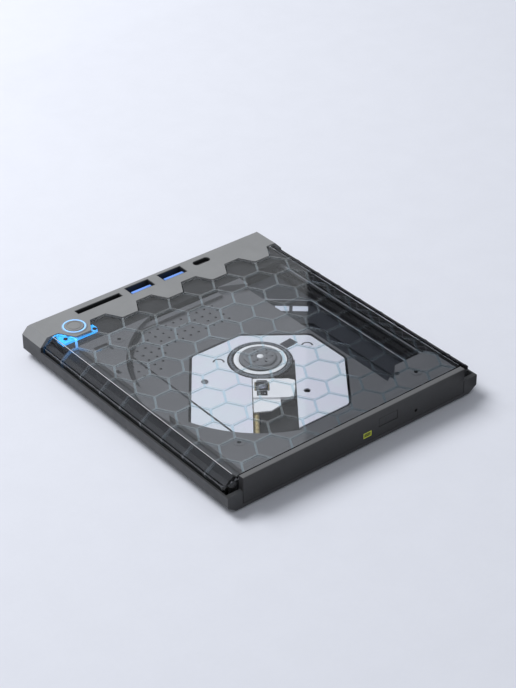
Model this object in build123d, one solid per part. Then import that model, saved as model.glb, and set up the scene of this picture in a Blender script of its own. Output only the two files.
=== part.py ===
from build123d import *
import os
from math import cos, hypot, radians, sin, sqrt, tan

# An external disc drive with a sliding tray under a clear honeycomb cover.
# Millimetres. The origin is on the table, under the middle of the case.
# +X runs to the right along the front, +Z is up, and the tray comes out towards -Y.

# Case
case_width = 143.5
case_depth = 155.0
foot_height = 0.8
foot_radius = 4.0
foot_inset = 13.0
foot_recess = 0.6
side_height = 8.4
rear_side_height = 10.8
floor_thickness = 1.5
wall = 1.8
lip_wall = 0.85
seat_height = 6.0
chamfer_in = 4.3
chamfer_up = 3.0

# Clear cover
cover_drop = 0.15
cover_wall = 1.5
cover_fold_inset = 6.45
cover_bend_height = 11.1
cover_gap = 0.3
cover_front_gap = 0.4
cover_end_radius = 4.0
cover_end_wall = 2.4
cover_setback = 2.5
skirt_gap = 0.3

# Honeycomb on the cover: flat-topped cells of one side length
cell_side = 8.85
rib_width = 1.1
rib_height = 0.15
rib_front_margin = 2.0
lattice_row_inset = 15.28

# Port bar along the rear
bar_height = 15.0
bar_chamfer_in = 3.95
bar_plate = 1.9
bar_wall = 1.8
bar_gap = 0.5

# Ports in the bar, each centred on one line
port_line_inset = 6.1
card_x = -32.4
card_width = 24.8
card_slot = 2.6
usb_a_xs = (-8.45, 10.9)
usb_a_width = 13.1
usb_a_slot = 5.7
usb_c_x = 28.75
usb_c_width = 8.95
usb_c_slot = 3.2
port_wall = 0.35
port_clearance = 0.1
port_sink = 0.25
port_floor = 1.2
tongue_sink = 2.0
tongue_thickness = 1.9
tongue_width = 11.2

# Light button on the bar
button_side_inset = 19.05
button_radius = 4.7
button_proud = 0.5
button_travel = 0.5
ring_radius = 6.1
ring_proud = 0.25
button_clearance = 0.08
switch_size = 5.0
switch_height = 2.2

# Board under the ports, on posts from the case floor
board_height = 3.6
board_thickness = 1.2
board_gap = 1.2
chip_setback = 11.0
chip_places = ((-8.45, 7.0, 7.0, 1.0), (20.0, 6.0, 6.0, 0.9), (44.0, 5.0, 8.0, 1.6), (-26.0, 4.0, 4.0, 0.8))
post_radius = 2.6
post_pitch = 8.0
board_post_inset = 19.0
board_side_inset = 12.75
case_screw_inset = 9.0

# Grey shield behind the tray, under the cover
shield_drop = 0.5
shield_thickness = 0.8
shield_overlap = 1.3
shield_reach = 4.08
shield_fold = 4.0
shield_fold_inset = 4.0
shield_hole_gap = 0.6

# Pan of the disc mechanism
pan_side_inset = 7.15
pan_sheet = 0.5
tab_clearance = 0.3
pan_gap = 0.1
pan_front_inset = 5.1
pan_rear_inset = 25.9

# Rails, mirrored left and right
runner_inset = 5.6
tongue_reach = 1.2
tongue_low = 6.95
tongue_high = 8.15
rail_width = 2.6
rail_low = 4.6
rail_rise = 0.2
rail_web = 0.5
slide_clearance = 0.12
guide_width = 1.9
flange_overhang = 1.9
flange_thickness = 0.6

# Tray
tray_headroom = 0.85
tray_bottom = 3.2
tray_floor = 9.4
tray_floor_thickness = 1.1
tray_wall = 1.3
tray_rear_gap = 2.1
trough_width = 23.8
recess_radius = 61.0
spindle_x = 1.64
spindle_y = -8.06
tab_side_gap = 1.3
tab_depth = 20.8
tab_slant = 7.8
bulge_thickness = 1.2
shield_sheet = 0.4
ledge_width = 4.2
ledge_front = 15.9
ledge_rear = 20.1
ledge_rise = 0.7
strip_gap = 1.6
strip_width = 3.0
strip_left = 31.6
strip_right = 19.4
strip_rise = 1.4
vent_radius = 0.75
vent_pitch = 4.57
vent_rows = 7
vent_start_x = 10.56
vent_start_y = 49.96
vent_edge = 2.6

# Front bezel on the tray
bezel_side_inset = 8.25
bezel_thickness = 3.1
bezel_bottom = 1.85
bezel_side_gap = 0.3
eject_x = 17.7
eject_width = 10.8
eject_low = 6.5
eject_high = 10.8
eject_travel = 0.6
eject_clearance = 0.12
cap_depth = 2.2
stem_width = 3.0
stem_low = 6.8
stem_high = 8.0
switch_setback = 3.2
lamp_x = 5.65
lamp_width = 4.7
lamp_low = 3.9
lamp_high = 6.7
pinhole_x = 34.3
pinhole_height = 5.4
pinhole_radius = 0.8

# Disc mechanism, on a frame turned about the spindle.
# u runs from the spindle outwards along the pickup's path, v runs across it.
sled_angle = -127.7
frame_bottom = 3.4
frame_under = 5.6
damper_side_gap = 9.679
plate_top = 9.2
plate_thickness = 0.6
plate_gap = 1.2
plate_u0 = -20.1
plate_u1 = 62.0
plate_v0 = -31.2
plate_v1 = 38.5
plate_right_gap = 2.7
plate_corner_x = -40.0
plate_corner_radius = 3.5
plate_rear_y = 13.5
plate_front_gap = 14.9
plate_hole_u = 24.7
plate_hole_v = 20.4
plate_hole_radius = 1.6
slot_v0 = -4.2
slot_v1 = 15.8
motor_radius = 11.0
motor_top = 7.2
foot_reach = 17.5
foot_front = 9.0
foot_half = 7.5
turntable_radius = 14.5
turntable_low = 7.6
turntable_top = 9.75
hub_flange_radius = 9.7
hub_flange_top = 10.5
hub_radius = 7.35
hub_top = 11.5
hub_hole_radius = 1.7
shaft_radius = 1.0
running_gap = 0.05
claw_count = 3

# Pickup
sled_u0 = 15.3
sled_u1 = 29.8
travel_front_gap = 20.045
sled_top = 9.3
carriage_top = 7.9
carriage_bottom = 4.1
arm_u1 = 22.5
arm_reach = 2.2
block_length = 3.0
block_gap = 0.3
rod_radius = 1.0
rod_height = 5.9
rod_v0 = -10.5
rod_v1 = 20.5
screw_v = -2.7
screw_radius = 1.5
screw_u0 = 15.6
screw_front_gap = 19.34
screw_gap = 0.3
screw_slot = 1.2
stepper_length = 7.0
stepper_radius = 2.4
lens_u = 21.2
lens_v = 0.3
lens_radius = 1.9
lens_holder = 6.2
slot_gap = 0.4
flex_length = 10.2
flex_shoulder = 4.8
flex_taper = 1.2
flex_v = 8.4
flex_thickness = 0.6

# Liner of the trough to the right of the tray
liner_gap = 0.7
liner_side_gap = 3.4
liner_base = 4.0
liner_steps = ((8.5, 5.2), (18.1, 7.45))
liner_corner_inset = 34.0
liner_rear_gap = 4.1
board_rear_gap = 7.6
cable_width = 14.0
cable_thickness = 0.15
cable_side_gap = 29.2
cable_front_gap = 26.4
board_front_gap = 28.0
thin_board = 0.8
tray_board_reach = 13.7
tray_board_gap = 2.2
tray_board_depth = 6.0
tray_board_setback = 3.0
eject_switch = 6.0

z0 = foot_height
half_w = case_width / 2
half_d = case_depth / 2
front_y = -half_d
apothem = cell_side * sqrt(3) / 2
column_pitch = cell_side * 1.5
row_pitch = 2 * apothem
lattice_row_y = half_d - lattice_row_inset
button_x = -half_w + button_side_inset
cell_x = button_x + 4 * column_pitch
columns = range(int((-half_w - cell_x) / column_pitch), int((half_w - cell_x) / column_pitch) + 1)
button_y = lattice_row_y
port_line_y = half_d - port_line_inset
cover_height = bar_height - cover_drop
cover_low = cover_height - cover_wall
tray_top = cover_low - tray_headroom
shield_height = tray_top - shield_drop
pan_wall_height = tray_top - bulge_thickness - tab_clearance - flange_thickness
rail_high = pan_wall_height + rail_rise
board_half_width = half_w - board_side_inset
pan_half = half_w - pan_side_inset
pan_front_y = front_y + pan_front_inset
pan_rear_y = half_d - pan_rear_inset
shield_front_y = pan_rear_y - shield_overlap
shield_rear_y = lattice_row_y + shield_reach
bezel_half = half_w - bezel_side_inset
pan_floor = floor_thickness + pan_gap
bezel_y = front_y + bezel_thickness
runner_x = pan_half - runner_inset
flange_reach = pan_half + flange_overhang
tray_front_y = bezel_y
tray_rear_y = pan_rear_y - tray_rear_gap
tray_right_x = runner_x - trough_width
tab_right_x = pan_half - tab_side_gap
tab_rear_y = tray_front_y + tab_depth
tab_left_x = tray_right_x + tab_slant
plate_right_x = tray_right_x - plate_right_gap
plate_front_y = tray_front_y + plate_front_gap
turn_cos = cos(radians(sled_angle))
turn_sin = sin(radians(sled_angle))
right_damper_v = (spindle_x - 8 * turn_cos - tray_right_x + damper_side_gap) / turn_sin
damper_places = ((-2, -24), (-8, right_damper_v), (36, 26))
front_reach = (tray_front_y - spindle_y) / turn_sin
screw_u1 = front_reach - screw_front_gap
sled_travel = front_reach - travel_front_gap - sled_u1
liner_left_x = tray_right_x + liner_gap
liner_right_x = runner_x - liner_side_gap
liner_levels = [(liner_left_x + step, level) for step, level in liner_steps]
liner_corner_y = pan_rear_y - liner_corner_inset
liner_rear_y = pan_rear_y - liner_rear_gap
drive_board_y = pan_rear_y - board_rear_gap
at_spindle = Pos(spindle_x, spindle_y, 0) * Rot(0, 0, sled_angle)


def block(x0, x1, y0, y1, low, high):
    """A box between two corners; heights are above the case's underside."""
    return Pos((x0 + x1) / 2, (y0 + y1) / 2, z0 + (low + high) / 2) * Box(x1 - x0, y1 - y0, high - low)


def disc(x, y, radius, low, high):
    """A round plate or post."""
    return Pos(x, y, z0 + (low + high) / 2) * Cylinder(radius, high - low)


def plate(points, low, high):
    """A flat plate with a straight-sided outline."""
    return extrude(Pos(0, 0, z0 + low) * Polygon(*points, align=None), high - low, dir=(0, 0, 1))


def along_y(points, y0, y1):
    """A profile in x and height, run from y0 to y1."""
    end = Plane(origin=(0, y1, z0), x_dir=(1, 0, 0), z_dir=(0, -1, 0))
    return extrude(end * Polygon(*points, align=None), y1 - y0, dir=(0, -1, 0))


def rod(u0, u1, v, height, radius):
    """A round rod along the pickup's path."""
    return at_spindle * Pos((u0 + u1) / 2, v, z0 + height) * Rot(0, 90, 0) * Cylinder(radius, u1 - u0)


def turned(u0, u1, v0, v1, low, high):
    """A box in the mechanism's own directions."""
    return at_spindle * block(u0, u1, v0, v1, low, high)


def mirrored(shape):
    """The same shape on the other side of the case."""
    return mirror(shape, about=Plane.YZ)


def zigzag(offset):
    """Points of the honeycomb edge from left to right, moved forwards by offset."""
    half = cell_side / 2
    slant = offset * tan(radians(30))
    points = []
    for column in columns:
        x = cell_x + column * column_pitch
        tip = column % 2 == 0
        y = lattice_row_y - (apothem if tip else 0) - offset
        reach = half + slant if tip else half - slant
        points += [(x - reach, y), (x + reach, y)]
    return points


def bar_outline(offset, side):
    """Plan of everything behind the honeycomb edge."""
    inner = [p for p in zigzag(offset) if abs(p[0]) < side]
    return [(-side, inner[0][1])] + inner + [(side, inner[-1][1]), (side, half_d), (-side, half_d)]


def case_profile(top):
    low_x = half_w - chamfer_in
    return [(-low_x, 0), (-half_w, chamfer_up), (-half_w, top),
            (half_w, top), (half_w, chamfer_up), (low_x, 0)]


def cover_profile(inset, low):
    """The cover's outline from the front, drawn in by inset."""
    x = half_w - lip_wall - cover_gap - inset
    fold = half_w - cover_fold_inset - inset * 0.6
    bend = cover_bend_height - inset * 0.6
    top = cover_height - inset
    return [(-x, low), (-x, bend), (-fold, top), (fold, top), (x, bend), (x, low)]


def make_bottom_case():
    body = along_y(case_profile(side_height), front_y, half_d)
    body += block(-half_w, half_w, lattice_row_y, half_d, side_height, rear_side_height)
    inner = half_w - wall
    inner_low = half_w - chamfer_in - 0.6
    hollow = [(-inner_low, floor_thickness), (-inner, chamfer_up + 0.8), (-inner, bar_height),
              (inner, bar_height), (inner, chamfer_up + 0.8), (inner_low, floor_thickness)]
    body -= along_y(hollow, front_y + 2.2, half_d - wall)
    rabbet = half_w - lip_wall
    body -= block(-rabbet, rabbet, front_y + 2.2, lattice_row_y, seat_height, bar_height)
    mouth = bezel_half + bezel_side_gap
    body -= block(-mouth, mouth, front_y - 1, front_y + 4, bezel_bottom - 0.15, bar_height)
    for x, y in foot_places():
        body -= disc(x, y, foot_radius + 0.1, -0.1, foot_recess)
    for x, y in case_screw_places():
        body += disc(x, y, post_radius, floor_thickness, rear_side_height - 2)
        body -= disc(x, y, 1.2, -0.1, rear_side_height)
        body -= disc(x, y, 2.1, -0.1, 1.0)
    for x in (-board_half_width + board_post_inset, board_half_width - board_post_inset):
        for y in (shield_rear_y, shield_rear_y - post_pitch):
            body += disc(x, y, post_radius, floor_thickness, board_height)
    return body + [skirt(side) for side in (-1, 1)]


def skirt(side):
    """The wall inside the case that backs the cover's sloping edge."""
    outline = cover_profile(cover_wall + skirt_gap, floor_thickness)
    y0 = front_y + cover_setback + cover_end_wall + skirt_gap
    y1 = lattice_row_y - skirt_gap
    inner = flange_reach + skirt_gap
    x0, x1 = sorted((side * inner, side * half_w))
    return along_y(outline, y0, y1) & block(x0, x1, y0, y1, floor_thickness - 0.5, bar_height)


def foot_places():
    x = half_w - foot_inset
    y = half_d - foot_inset
    return [(sx * x, sy * y) for sx in (-1, 1) for sy in (-1, 1)]


def case_screw_places():
    return [(-half_w + case_screw_inset, half_d - 6.5), (half_w - case_screw_inset, half_d - 6.5)]


def make_feet():
    return [disc(x, y, foot_radius, -foot_height, foot_recess) for x, y in foot_places()]


def make_case_screws():
    screws = []
    for x, y in case_screw_places():
        screws.append(disc(x, y, 1.9, 0.3, 1.0) + disc(x, y, 1.0, 1.0, rear_side_height - 0.4))
    return screws


def cells():
    """Centres of the honeycomb cells on the cover."""
    found = []
    for column in columns:
        for row in range(-1, 12):
            drop = row_pitch * row + (apothem if column % 2 else 0)
            found.append((cell_x + column * column_pitch, lattice_row_y - drop))
    return found


def make_top_cover():
    rear_y = half_d
    cover = along_y(cover_profile(0, seat_height), front_y + cover_setback, rear_y)
    cover -= along_y(cover_profile(cover_wall, 0), front_y + 1, rear_y + 1)
    end_y = front_y + cover_setback
    cover += along_y(cover_profile(0, seat_height), end_y, end_y + cover_end_wall)
    mouth = bezel_half + bezel_side_gap + 0.2
    cover -= block(-mouth, mouth, front_y, end_y + cover_end_wall + 1, 0, cover_low)
    cover -= block(-mouth, mouth, front_y, bezel_y + cover_front_gap, 0, bar_height)
    width = 2 * (half_w - lip_wall - cover_gap)
    plan = Pos(0, end_y + half_d, 0) * RectangleRounded(width, case_depth, cover_end_radius)
    cover &= extrude(plan, bar_height * 2)
    cover -= plate(bar_outline(bar_gap, half_w + 1), 0, bar_height + 1)
    fold = half_w - cover_fold_inset
    front = bezel_y + cover_front_gap + rib_front_margin
    floor_h = cover_height - rib_height
    hexagon = RegularPolygon(cell_side - rib_width / sqrt(3), 6)
    field = block(-fold + 0.4, fold - 0.4, front, half_d, floor_h, bar_height)
    pockets = [extrude(Pos(x, y, z0 + floor_h) * hexagon, 1) for x, y in cells()]
    pockets = [p & field for p in pockets if p.bounding_box().min.Y < lattice_row_y - apothem / 2]
    edge = plate(bar_outline(bar_gap + rib_width, half_w), 0, bar_height + 1)
    pockets = [p - edge for p in pockets if p.volume > 0.5]
    cover -= [p for p in pockets if p.volume > 0.5]
    cover -= side_pockets()
    return cover


def side_pockets():
    """Shallow fields between the ribs that run down the cover's sides."""
    outer = cover_profile(0, seat_height + 0.9)
    inner = cover_profile(rib_height, seat_height + 0.9)
    left = outer[:3] + inner[2::-1]
    right = outer[3:] + inner[:2:-1]
    fields = []
    top_y = lattice_row_y - row_pitch
    for row in range(9):
        high = min(top_y - row_pitch * (row - 1) - rib_width / 2, lattice_row_y - bar_gap - rib_width)
        low = max(top_y - row_pitch * row + rib_width / 2, front_y + cover_setback + cover_end_radius)
        if high - low > 1:
            fields += [along_y(left, low, high), along_y(right, low, high)]
    return fields


def bar_profile(inset, low):
    """The bar's outline from the front, drawn in by inset and cut off at a height."""
    x = half_w - inset
    bend = rear_side_height - inset * 0.4
    fold = half_w - bar_chamfer_in - inset * 0.6
    top = bar_height - inset
    profile = [(-x, bend), (-fold, top), (fold, top), (x, bend)]
    if low < bend:
        profile = [(-x, low)] + profile + [(x, low)]
    return profile


def make_port_bar():
    outline = bar_outline(0, half_w)
    bar = along_y(bar_profile(0, rear_side_height), lattice_row_y - apothem - 1, half_d)
    bar &= plate(outline, 0, bar_height + 1)
    hollow = along_y(bar_profile(bar_plate, 0), lattice_row_y - apothem - 2, half_d - bar_wall)
    bar -= hollow
    bar = chamfer(bar.edges().filter_by(Axis.X).group_by(Axis.Z)[-1].sort_by(Axis.Y)[-1], 1.0)
    for x, y in case_screw_places():
        bar += disc(x, y, post_radius, rear_side_height - 2 + 0.05, bar_height - bar_plate) \
            & along_y(bar_profile(0.3, 0), 0, half_d)
        bar -= disc(x, y, 1.0, rear_side_height - 3, rear_side_height - 0.4)
    for x, width, depth, round_end in port_places():
        bar -= port_prism(x, width + 2 * port_clearance, depth + 2 * port_clearance,
                          0, bar_height + 1, round_end)
    bar -= disc(button_x, button_y, ring_radius + button_clearance, 0, bar_height + 1)
    return bar


def port_places():
    """x, outside width, outside depth and whether the ends are round, of each port."""
    shell = 2 * port_wall
    places = [(card_x, card_width + shell, card_slot + shell, False)]
    places += [(x, usb_a_width + shell, usb_a_slot + shell, False) for x in usb_a_xs]
    places.append((usb_c_x, usb_c_width + shell, usb_c_slot + shell, True))
    return places


def port_prism(x, width, depth, low, high, round_end):
    """An upright block with square or round ends, standing on the port line."""
    if round_end:
        outline = SlotOverall(width, depth)
    else:
        outline = Rectangle(width, depth)
    return extrude(Pos(x, port_line_y, z0 + low) * outline, high - low)


def make_port(x, width, depth, round_end):
    """A socket's metal shell, closed at the bottom, standing on the board."""
    low = board_height + board_thickness
    top = bar_height - port_sink
    shell = port_prism(x, width, depth, low, top, round_end)
    bore = port_prism(x, width - 2 * port_wall, depth - 2 * port_wall, low + port_floor, top + 1, round_end)
    return shell - bore


def make_usb_a_tongues():
    low = board_height + board_thickness + port_floor
    front = port_line_y - usb_a_slot / 2 + 0.55
    half = tongue_width / 2
    return [block(x - half, x + half, front, front + tongue_thickness, low, bar_height - tongue_sink)
            for x in usb_a_xs]


def make_usb_c_tongue():
    low = board_height + board_thickness + port_floor
    half = usb_c_width / 2 - 1.2
    return Pos(usb_c_x, port_line_y, 0) * block(-half, half, -0.35, 0.35, low, bar_height - 1.2)


def make_hub_board():
    return block(-board_half_width, board_half_width, pan_rear_y + 1.6, half_d - wall - board_gap,
                 board_height, board_height + board_thickness)


def make_board_chips():
    low = board_height + board_thickness
    y = port_line_y - chip_setback
    return [block(x - w / 2, x + w / 2, y - d / 2, y + d / 2, low, low + h) for x, w, d, h in chip_places]


def make_light_parts():
    low = shield_height
    guide_top = bar_height - bar_plate - 0.05
    front = -apothem - 0.3
    points = [(-11.0, front), (7.6, front), (8.7, -5.6), (7.8, 3.0), (-6.6, 3.0), (-9.9, 0.6),
              (-11.0, -3.2)]
    guide = plate([(button_x + x, button_y + y) for x, y in points], low, guide_top)
    guide -= disc(button_x, button_y, button_radius + 0.4, 0, bar_height)
    screws = []
    for x, y in guide_screw_places():
        guide -= disc(x, y, 0.75, 0, bar_height)
        screws.append(disc(x, y, 0.7, low, guide_top) + disc(x, y, 1.05, guide_top, guide_top + 0.2))
    ring = disc(button_x, button_y, ring_radius, guide_top, bar_height + ring_proud)
    ring -= disc(button_x, button_y, button_radius + button_clearance, 0, bar_height + 1)
    top_edges = ring.edges().filter_by(GeomType.CIRCLE).group_by(Axis.Z)[-1]
    ring = chamfer(top_edges.sort_by(SortBy.RADIUS)[-1], 0.2)
    return guide, screws, ring


def guide_screw_places():
    return [(button_x - 8.3, button_y - 5.0), (button_x + 7.1, button_y - 6.3)]


def make_light_button():
    top = bar_height + button_proud
    cap = disc(button_x, button_y, button_radius, bar_height - 3.2, top)
    cap = chamfer(cap.edges().filter_by(GeomType.CIRCLE).group_by(Axis.Z)[-1], 0.3)
    cap -= disc(button_x, button_y, button_radius - 1.2, top - 0.15, top + 1)
    cap += disc(button_x, button_y, button_radius - 1.7, top - 0.2, top)
    stem_low = board_height + board_thickness + switch_height + button_travel + 0.05
    cap += disc(button_x, button_y, 1.4, stem_low, bar_height - 3.2)
    return cap


def make_button_switch():
    low = board_height + board_thickness
    half = switch_size / 2
    body = Pos(button_x, button_y, 0) * block(-half, half, -half, half, low, low + switch_height - 0.5)
    return body + disc(button_x, button_y, 1.2, low, low + switch_height)


def make_rear_shield():
    low = shield_height - shield_thickness
    x = pan_half
    shield = block(-x, x, shield_front_y, shield_rear_y, low, shield_height)
    fold = x - shield_fold_inset
    shield += block(-fold, fold, shield_front_y, shield_front_y + pan_sheet, tray_top - shield_fold, low)
    shield -= disc(button_x, button_y, button_radius + shield_hole_gap, 0, bar_height)
    return shield


def make_drive_pan():
    x = pan_half
    pan = block(-x, x, pan_front_y, pan_rear_y + pan_sheet, pan_floor, pan_floor + pan_sheet)
    for side in (-1, 1):
        edges = sorted((side * x, side * (x - pan_sheet)))
        pan += block(edges[0], edges[1], pan_front_y, pan_rear_y + pan_sheet, pan_floor, pan_wall_height)
    pan += block(-x, x, pan_rear_y, pan_rear_y + pan_sheet, pan_floor, shield_height - shield_thickness)
    return pan


def fixed_guide(truss):
    """The rail guide on the pan's right wall, with its tongue and top flange."""
    wall_x = pan_half - pan_sheet
    x = wall_x - guide_width
    y0 = pan_front_y + 1
    y1 = pan_rear_y - 1.6
    guide = block(x, wall_x, y0, y1, pan_floor + pan_sheet, pan_wall_height)
    guide += block(x - tongue_reach + slide_clearance, x, y0, y1, tongue_low, tongue_high)
    top = pan_wall_height + flange_thickness
    guide += block(x, flange_reach, y0, y1, pan_wall_height, top)
    if truss:
        guide -= truss_windows(x + 0.7, flange_reach - 0.7, y0, y1, top)
    return guide


def truss_windows(x0, x1, y0, y1, top):
    """Triangular windows that leave a zigzag of ribs in a flange."""
    windows = []
    pitch = 7.6
    count = int((y1 - y0 - 6) / pitch)
    for i in range(count):
        y = y0 + 3 + i * pitch
        windows.append(plate([(x0, y), (x1, y), (x0, y + pitch * 0.62)], top - 0.35, top + 1))
        windows.append(plate([(x1, y + pitch * 0.3), (x1, y + pitch * 0.92), (x0, y + pitch * 0.92)],
                             top - 0.35, top + 1))
    return windows


def sliding_rail():
    """The right intermediate rail: a bar with a groove in each side."""
    x0 = runner_x + 0.3
    x1 = x0 + rail_width
    y0 = pan_front_y + 1
    y1 = pan_rear_y - 1.6
    groove = (rail_width - rail_web) / 2
    low = tongue_low - slide_clearance
    high = tongue_high + slide_clearance
    rail = block(x0, x1, y0, y1, rail_low, rail_high)
    rail -= block(x0 - 1, x0 + groove, y0 - 1, y1 + 1, low, high)
    rail -= block(x1 - groove, x1 + 1, y0 - 1, y1 + 1, low, high)
    return rail


def tray_tongue(y0, y1):
    reach = runner_x + tongue_reach - slide_clearance
    return block(runner_x - 0.1, reach, y0, y1, tongue_low, tongue_high)


def tray_outline():
    return [(-runner_x, tray_front_y), (tab_right_x - 1.2, tray_front_y), (tab_right_x, tray_front_y + 2.5),
            (tab_right_x, tab_rear_y - 2.4), (tab_right_x - 2.2, tab_rear_y), (tab_left_x, tab_rear_y),
            (tray_right_x, tab_rear_y - 8.2), (tray_right_x, tray_rear_y), (-runner_x, tray_rear_y)]


def octagon(gap):
    """The turned plate's outline, clipped square where the tray ends."""
    low = tray_floor - 3
    body = turned(plate_u0 - gap, plate_u1 + gap, plate_v0 - gap, plate_v1 + gap, low, tray_floor + 1)
    left = -runner_x + tray_wall + plate_gap - gap
    body &= block(left, plate_right_x + gap, plate_front_y - gap, plate_rear_y + gap, low, tray_floor + 1)
    corners = body.edges().filter_by(Axis.Z)
    low_y = plate_front_y - 2 * plate_gap
    kept = [e for e in corners if e.center().X > plate_corner_x and e.center().Y > low_y]
    return fillet(kept, plate_corner_radius)


def make_disc_tray():
    under = tray_floor - tray_floor_thickness
    tray = plate(tray_outline(), tray_bottom, tray_top)
    left, right = -runner_x + tray_wall, tray_right_x - tray_wall
    front, rear = tray_front_y + 2, tray_rear_y - tray_wall
    inner = [(left, front), (right, front), (right, rear), (left, rear)]
    tray -= plate(inner, tray_bottom - 1, under)
    tray -= block(tray_right_x, tab_right_x + 1, tray_front_y + 2, tray_rear_y, 0, tray_floor)
    tray -= block(runner_x, tab_right_x + 1, tray_front_y - 1, tray_rear_y, 0, tray_top - bulge_thickness)
    tray += make_bulge()
    tray -= disc(spindle_x, spindle_y, recess_radius, tray_floor, tray_top + 1)
    tray -= [vent(x, y) for x, y in vent_places()]
    tray += mirrored(tray_tongue(tray_front_y + 2, tray_rear_y))
    ledge_x = -runner_x + 0.2
    ledge = block(ledge_x, ledge_x + ledge_width, spindle_y - ledge_front, spindle_y + ledge_rear,
                  under, tray_floor + ledge_rise)
    tray += ledge & disc(spindle_x, spindle_y, recess_radius + 0.2, 0, bar_height)
    tray -= octagon(plate_gap) & disc(spindle_x, spindle_y, recess_radius, 0, bar_height)
    strip_y = tray_rear_y - strip_gap
    tray += block(spindle_x - strip_left, spindle_x + strip_right, strip_y - strip_width, strip_y,
                  tray_floor, tray_floor + strip_rise)
    for x, y in tray_screw_places():
        tray += disc(x, y, 2.6, tray_top - 1, tray_top + 0.15)
        tray -= disc(x, y, 1.0, tray_top - 2.2, tray_top + 1)
    for x0, x1, y0, y1 in tray_pits():
        tray -= block(x0, x1, y0, y1, tray_top - 1.6, tray_top + 1)
    tray -= disc(tray_right_x + 4.2, tab_rear_y - 5.4, 1.3, 0, bar_height)
    slot = turned(sled_u0, plate_u1 + 14, slot_v0 - 1, slot_v1 + 1, 0, sled_top + 0.9)
    tray -= slot & plate(inner, 0, bar_height)
    half = stem_width / 2 + 0.4
    tray -= block(eject_x - half, eject_x + half, tray_front_y - 1, tray_front_y + 3,
                  stem_low - 0.2, stem_high + 0.2)
    tray -= Pos(pinhole_x, tray_front_y, z0 + pinhole_height) * Rot(90, 0, 0) * Cylinder(pinhole_radius, 8)
    return tray


def vent_places():
    """Centres of the small vents, in rows over the rear left of the recess floor."""
    places = []
    for row in range(vent_rows):
        for column in range(16):
            x = vent_start_x - vent_pitch * column
            y = vent_start_y - vent_pitch * row
            if hypot(x, y) < recess_radius - vent_edge and (row < 4 or column >= row + 5):
                places.append((spindle_x + x, spindle_y + y))
    return places


def vent(x, y):
    """A vent through the recess floor, six-sided like the cover's cells."""
    outline = Pos(x, y, z0 + tray_floor + 0.5) * RegularPolygon(vent_radius, 6)
    return extrude(outline, -tray_floor_thickness - 1)


def tray_screw_places():
    return [(-runner_x + 17.7, tray_rear_y - 7.1), (-runner_x + 11.2, tray_front_y + 19.5),
            (tab_right_x - 16.5, tray_front_y + 10.8)]


def tray_pits():
    """The shallow square pits in the tray's top, at the rear left."""
    x = -runner_x
    y = tray_rear_y
    return [(x + 4.2, x + 11.6, y - 12.1, y - 5.7), (x + 1.2, x + 3.0, y - 30.2, y - 27.1)]


def make_bulge():
    """Where the tray reaches out past its runner, beside the disc."""
    x = -runner_x
    y = spindle_y
    outline = [(x + 0.5, y + 13), (x, y + 13), (x - 2.5, y + 8.5), (x - 3.9, y + 2), (x - 3.9, y - 6),
               (x - 2.9, y - 16.3), (x, y - 12.1), (x + 0.5, y - 12.1)]
    return plate(outline, tray_top - bulge_thickness, tray_top)


def make_tray_runner():
    """The black runner on the right, hung from the tray's front corner."""
    y0 = tray_front_y + 2
    runner = block(liner_right_x + 0.4, runner_x, y0, tray_rear_y, tongue_low - 1.2, tray_floor)
    runner += tray_tongue(y0, tray_rear_y)
    x0, x1 = liner_right_x + 1.2, runner_x - 0.9
    for i in range(7):
        y = y0 + 22.4 + i * 14.5
        for low, high in ((0, 3.2), (4.4, 5.6)):
            runner -= block(x0, x1, y + low, y + high, tray_floor - 0.6, tray_floor + 1)
    return runner


def make_front_bezel():
    half = bezel_half
    bezel = block(-half, half, front_y, bezel_y, bezel_bottom, bar_height)
    top_edges = bezel.edges().filter_by(Axis.X).group_by(Axis.Z)[-1]
    bezel = chamfer(top_edges, 0.35)
    gap = eject_clearance
    reach = eject_width / 2 + gap
    bezel -= block(eject_x - reach, eject_x + reach, front_y - 1, bezel_y + 1,
                   eject_low - gap, eject_high + gap)
    reach = lamp_width / 2
    bezel -= block(lamp_x - reach, lamp_x + reach, front_y - 1, bezel_y + 1, lamp_low, lamp_high)
    bezel -= Pos(pinhole_x, front_y, z0 + pinhole_height) * Rot(90, 0, 0) * Cylinder(pinhole_radius, 10)
    return bezel


def make_eject_button():
    x0 = eject_x - eject_width / 2
    x1 = eject_x + eject_width / 2
    cap = block(x0, x1, front_y, front_y + cap_depth, eject_low, eject_high)
    cap = fillet(cap.faces().sort_by(Axis.Y)[0].edges(), 0.3)
    stem_y = tray_front_y + switch_setback - eject_travel - 0.05
    half = stem_width / 2
    return cap + block(eject_x - half, eject_x + half, front_y + cap_depth, stem_y, stem_low, stem_high)


def make_indicator_lens():
    reach = lamp_width / 2
    return block(lamp_x - reach, lamp_x + reach, front_y + 0.1, bezel_y, lamp_low, lamp_high)


def make_tray_shield():
    x = tray_right_x - 0.3
    sheet = block(-runner_x + 0.3, x, tray_front_y + 1.5, tray_rear_y - 0.3,
                  tray_bottom - shield_sheet, tray_bottom)
    for u, v in damper_places:
        sheet -= at_spindle * disc(u, v, 1.2, 0, tray_bottom + 1)
    return sheet


def make_traverse_plate():
    top = octagon(0) & disc(spindle_x, spindle_y, recess_radius - 0.6, 0, bar_height)
    top &= block(-half_w, half_w, -half_d, half_d, plate_top - plate_thickness, plate_top)
    top -= disc(spindle_x, spindle_y, turntable_radius + 0.7, 0, bar_height)
    top -= turned(0, plate_u1 + 9, slot_v0, slot_v1, 0, bar_height)
    top -= at_spindle * disc(plate_hole_u, plate_hole_v, plate_hole_radius, 0, bar_height)
    return top


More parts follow.
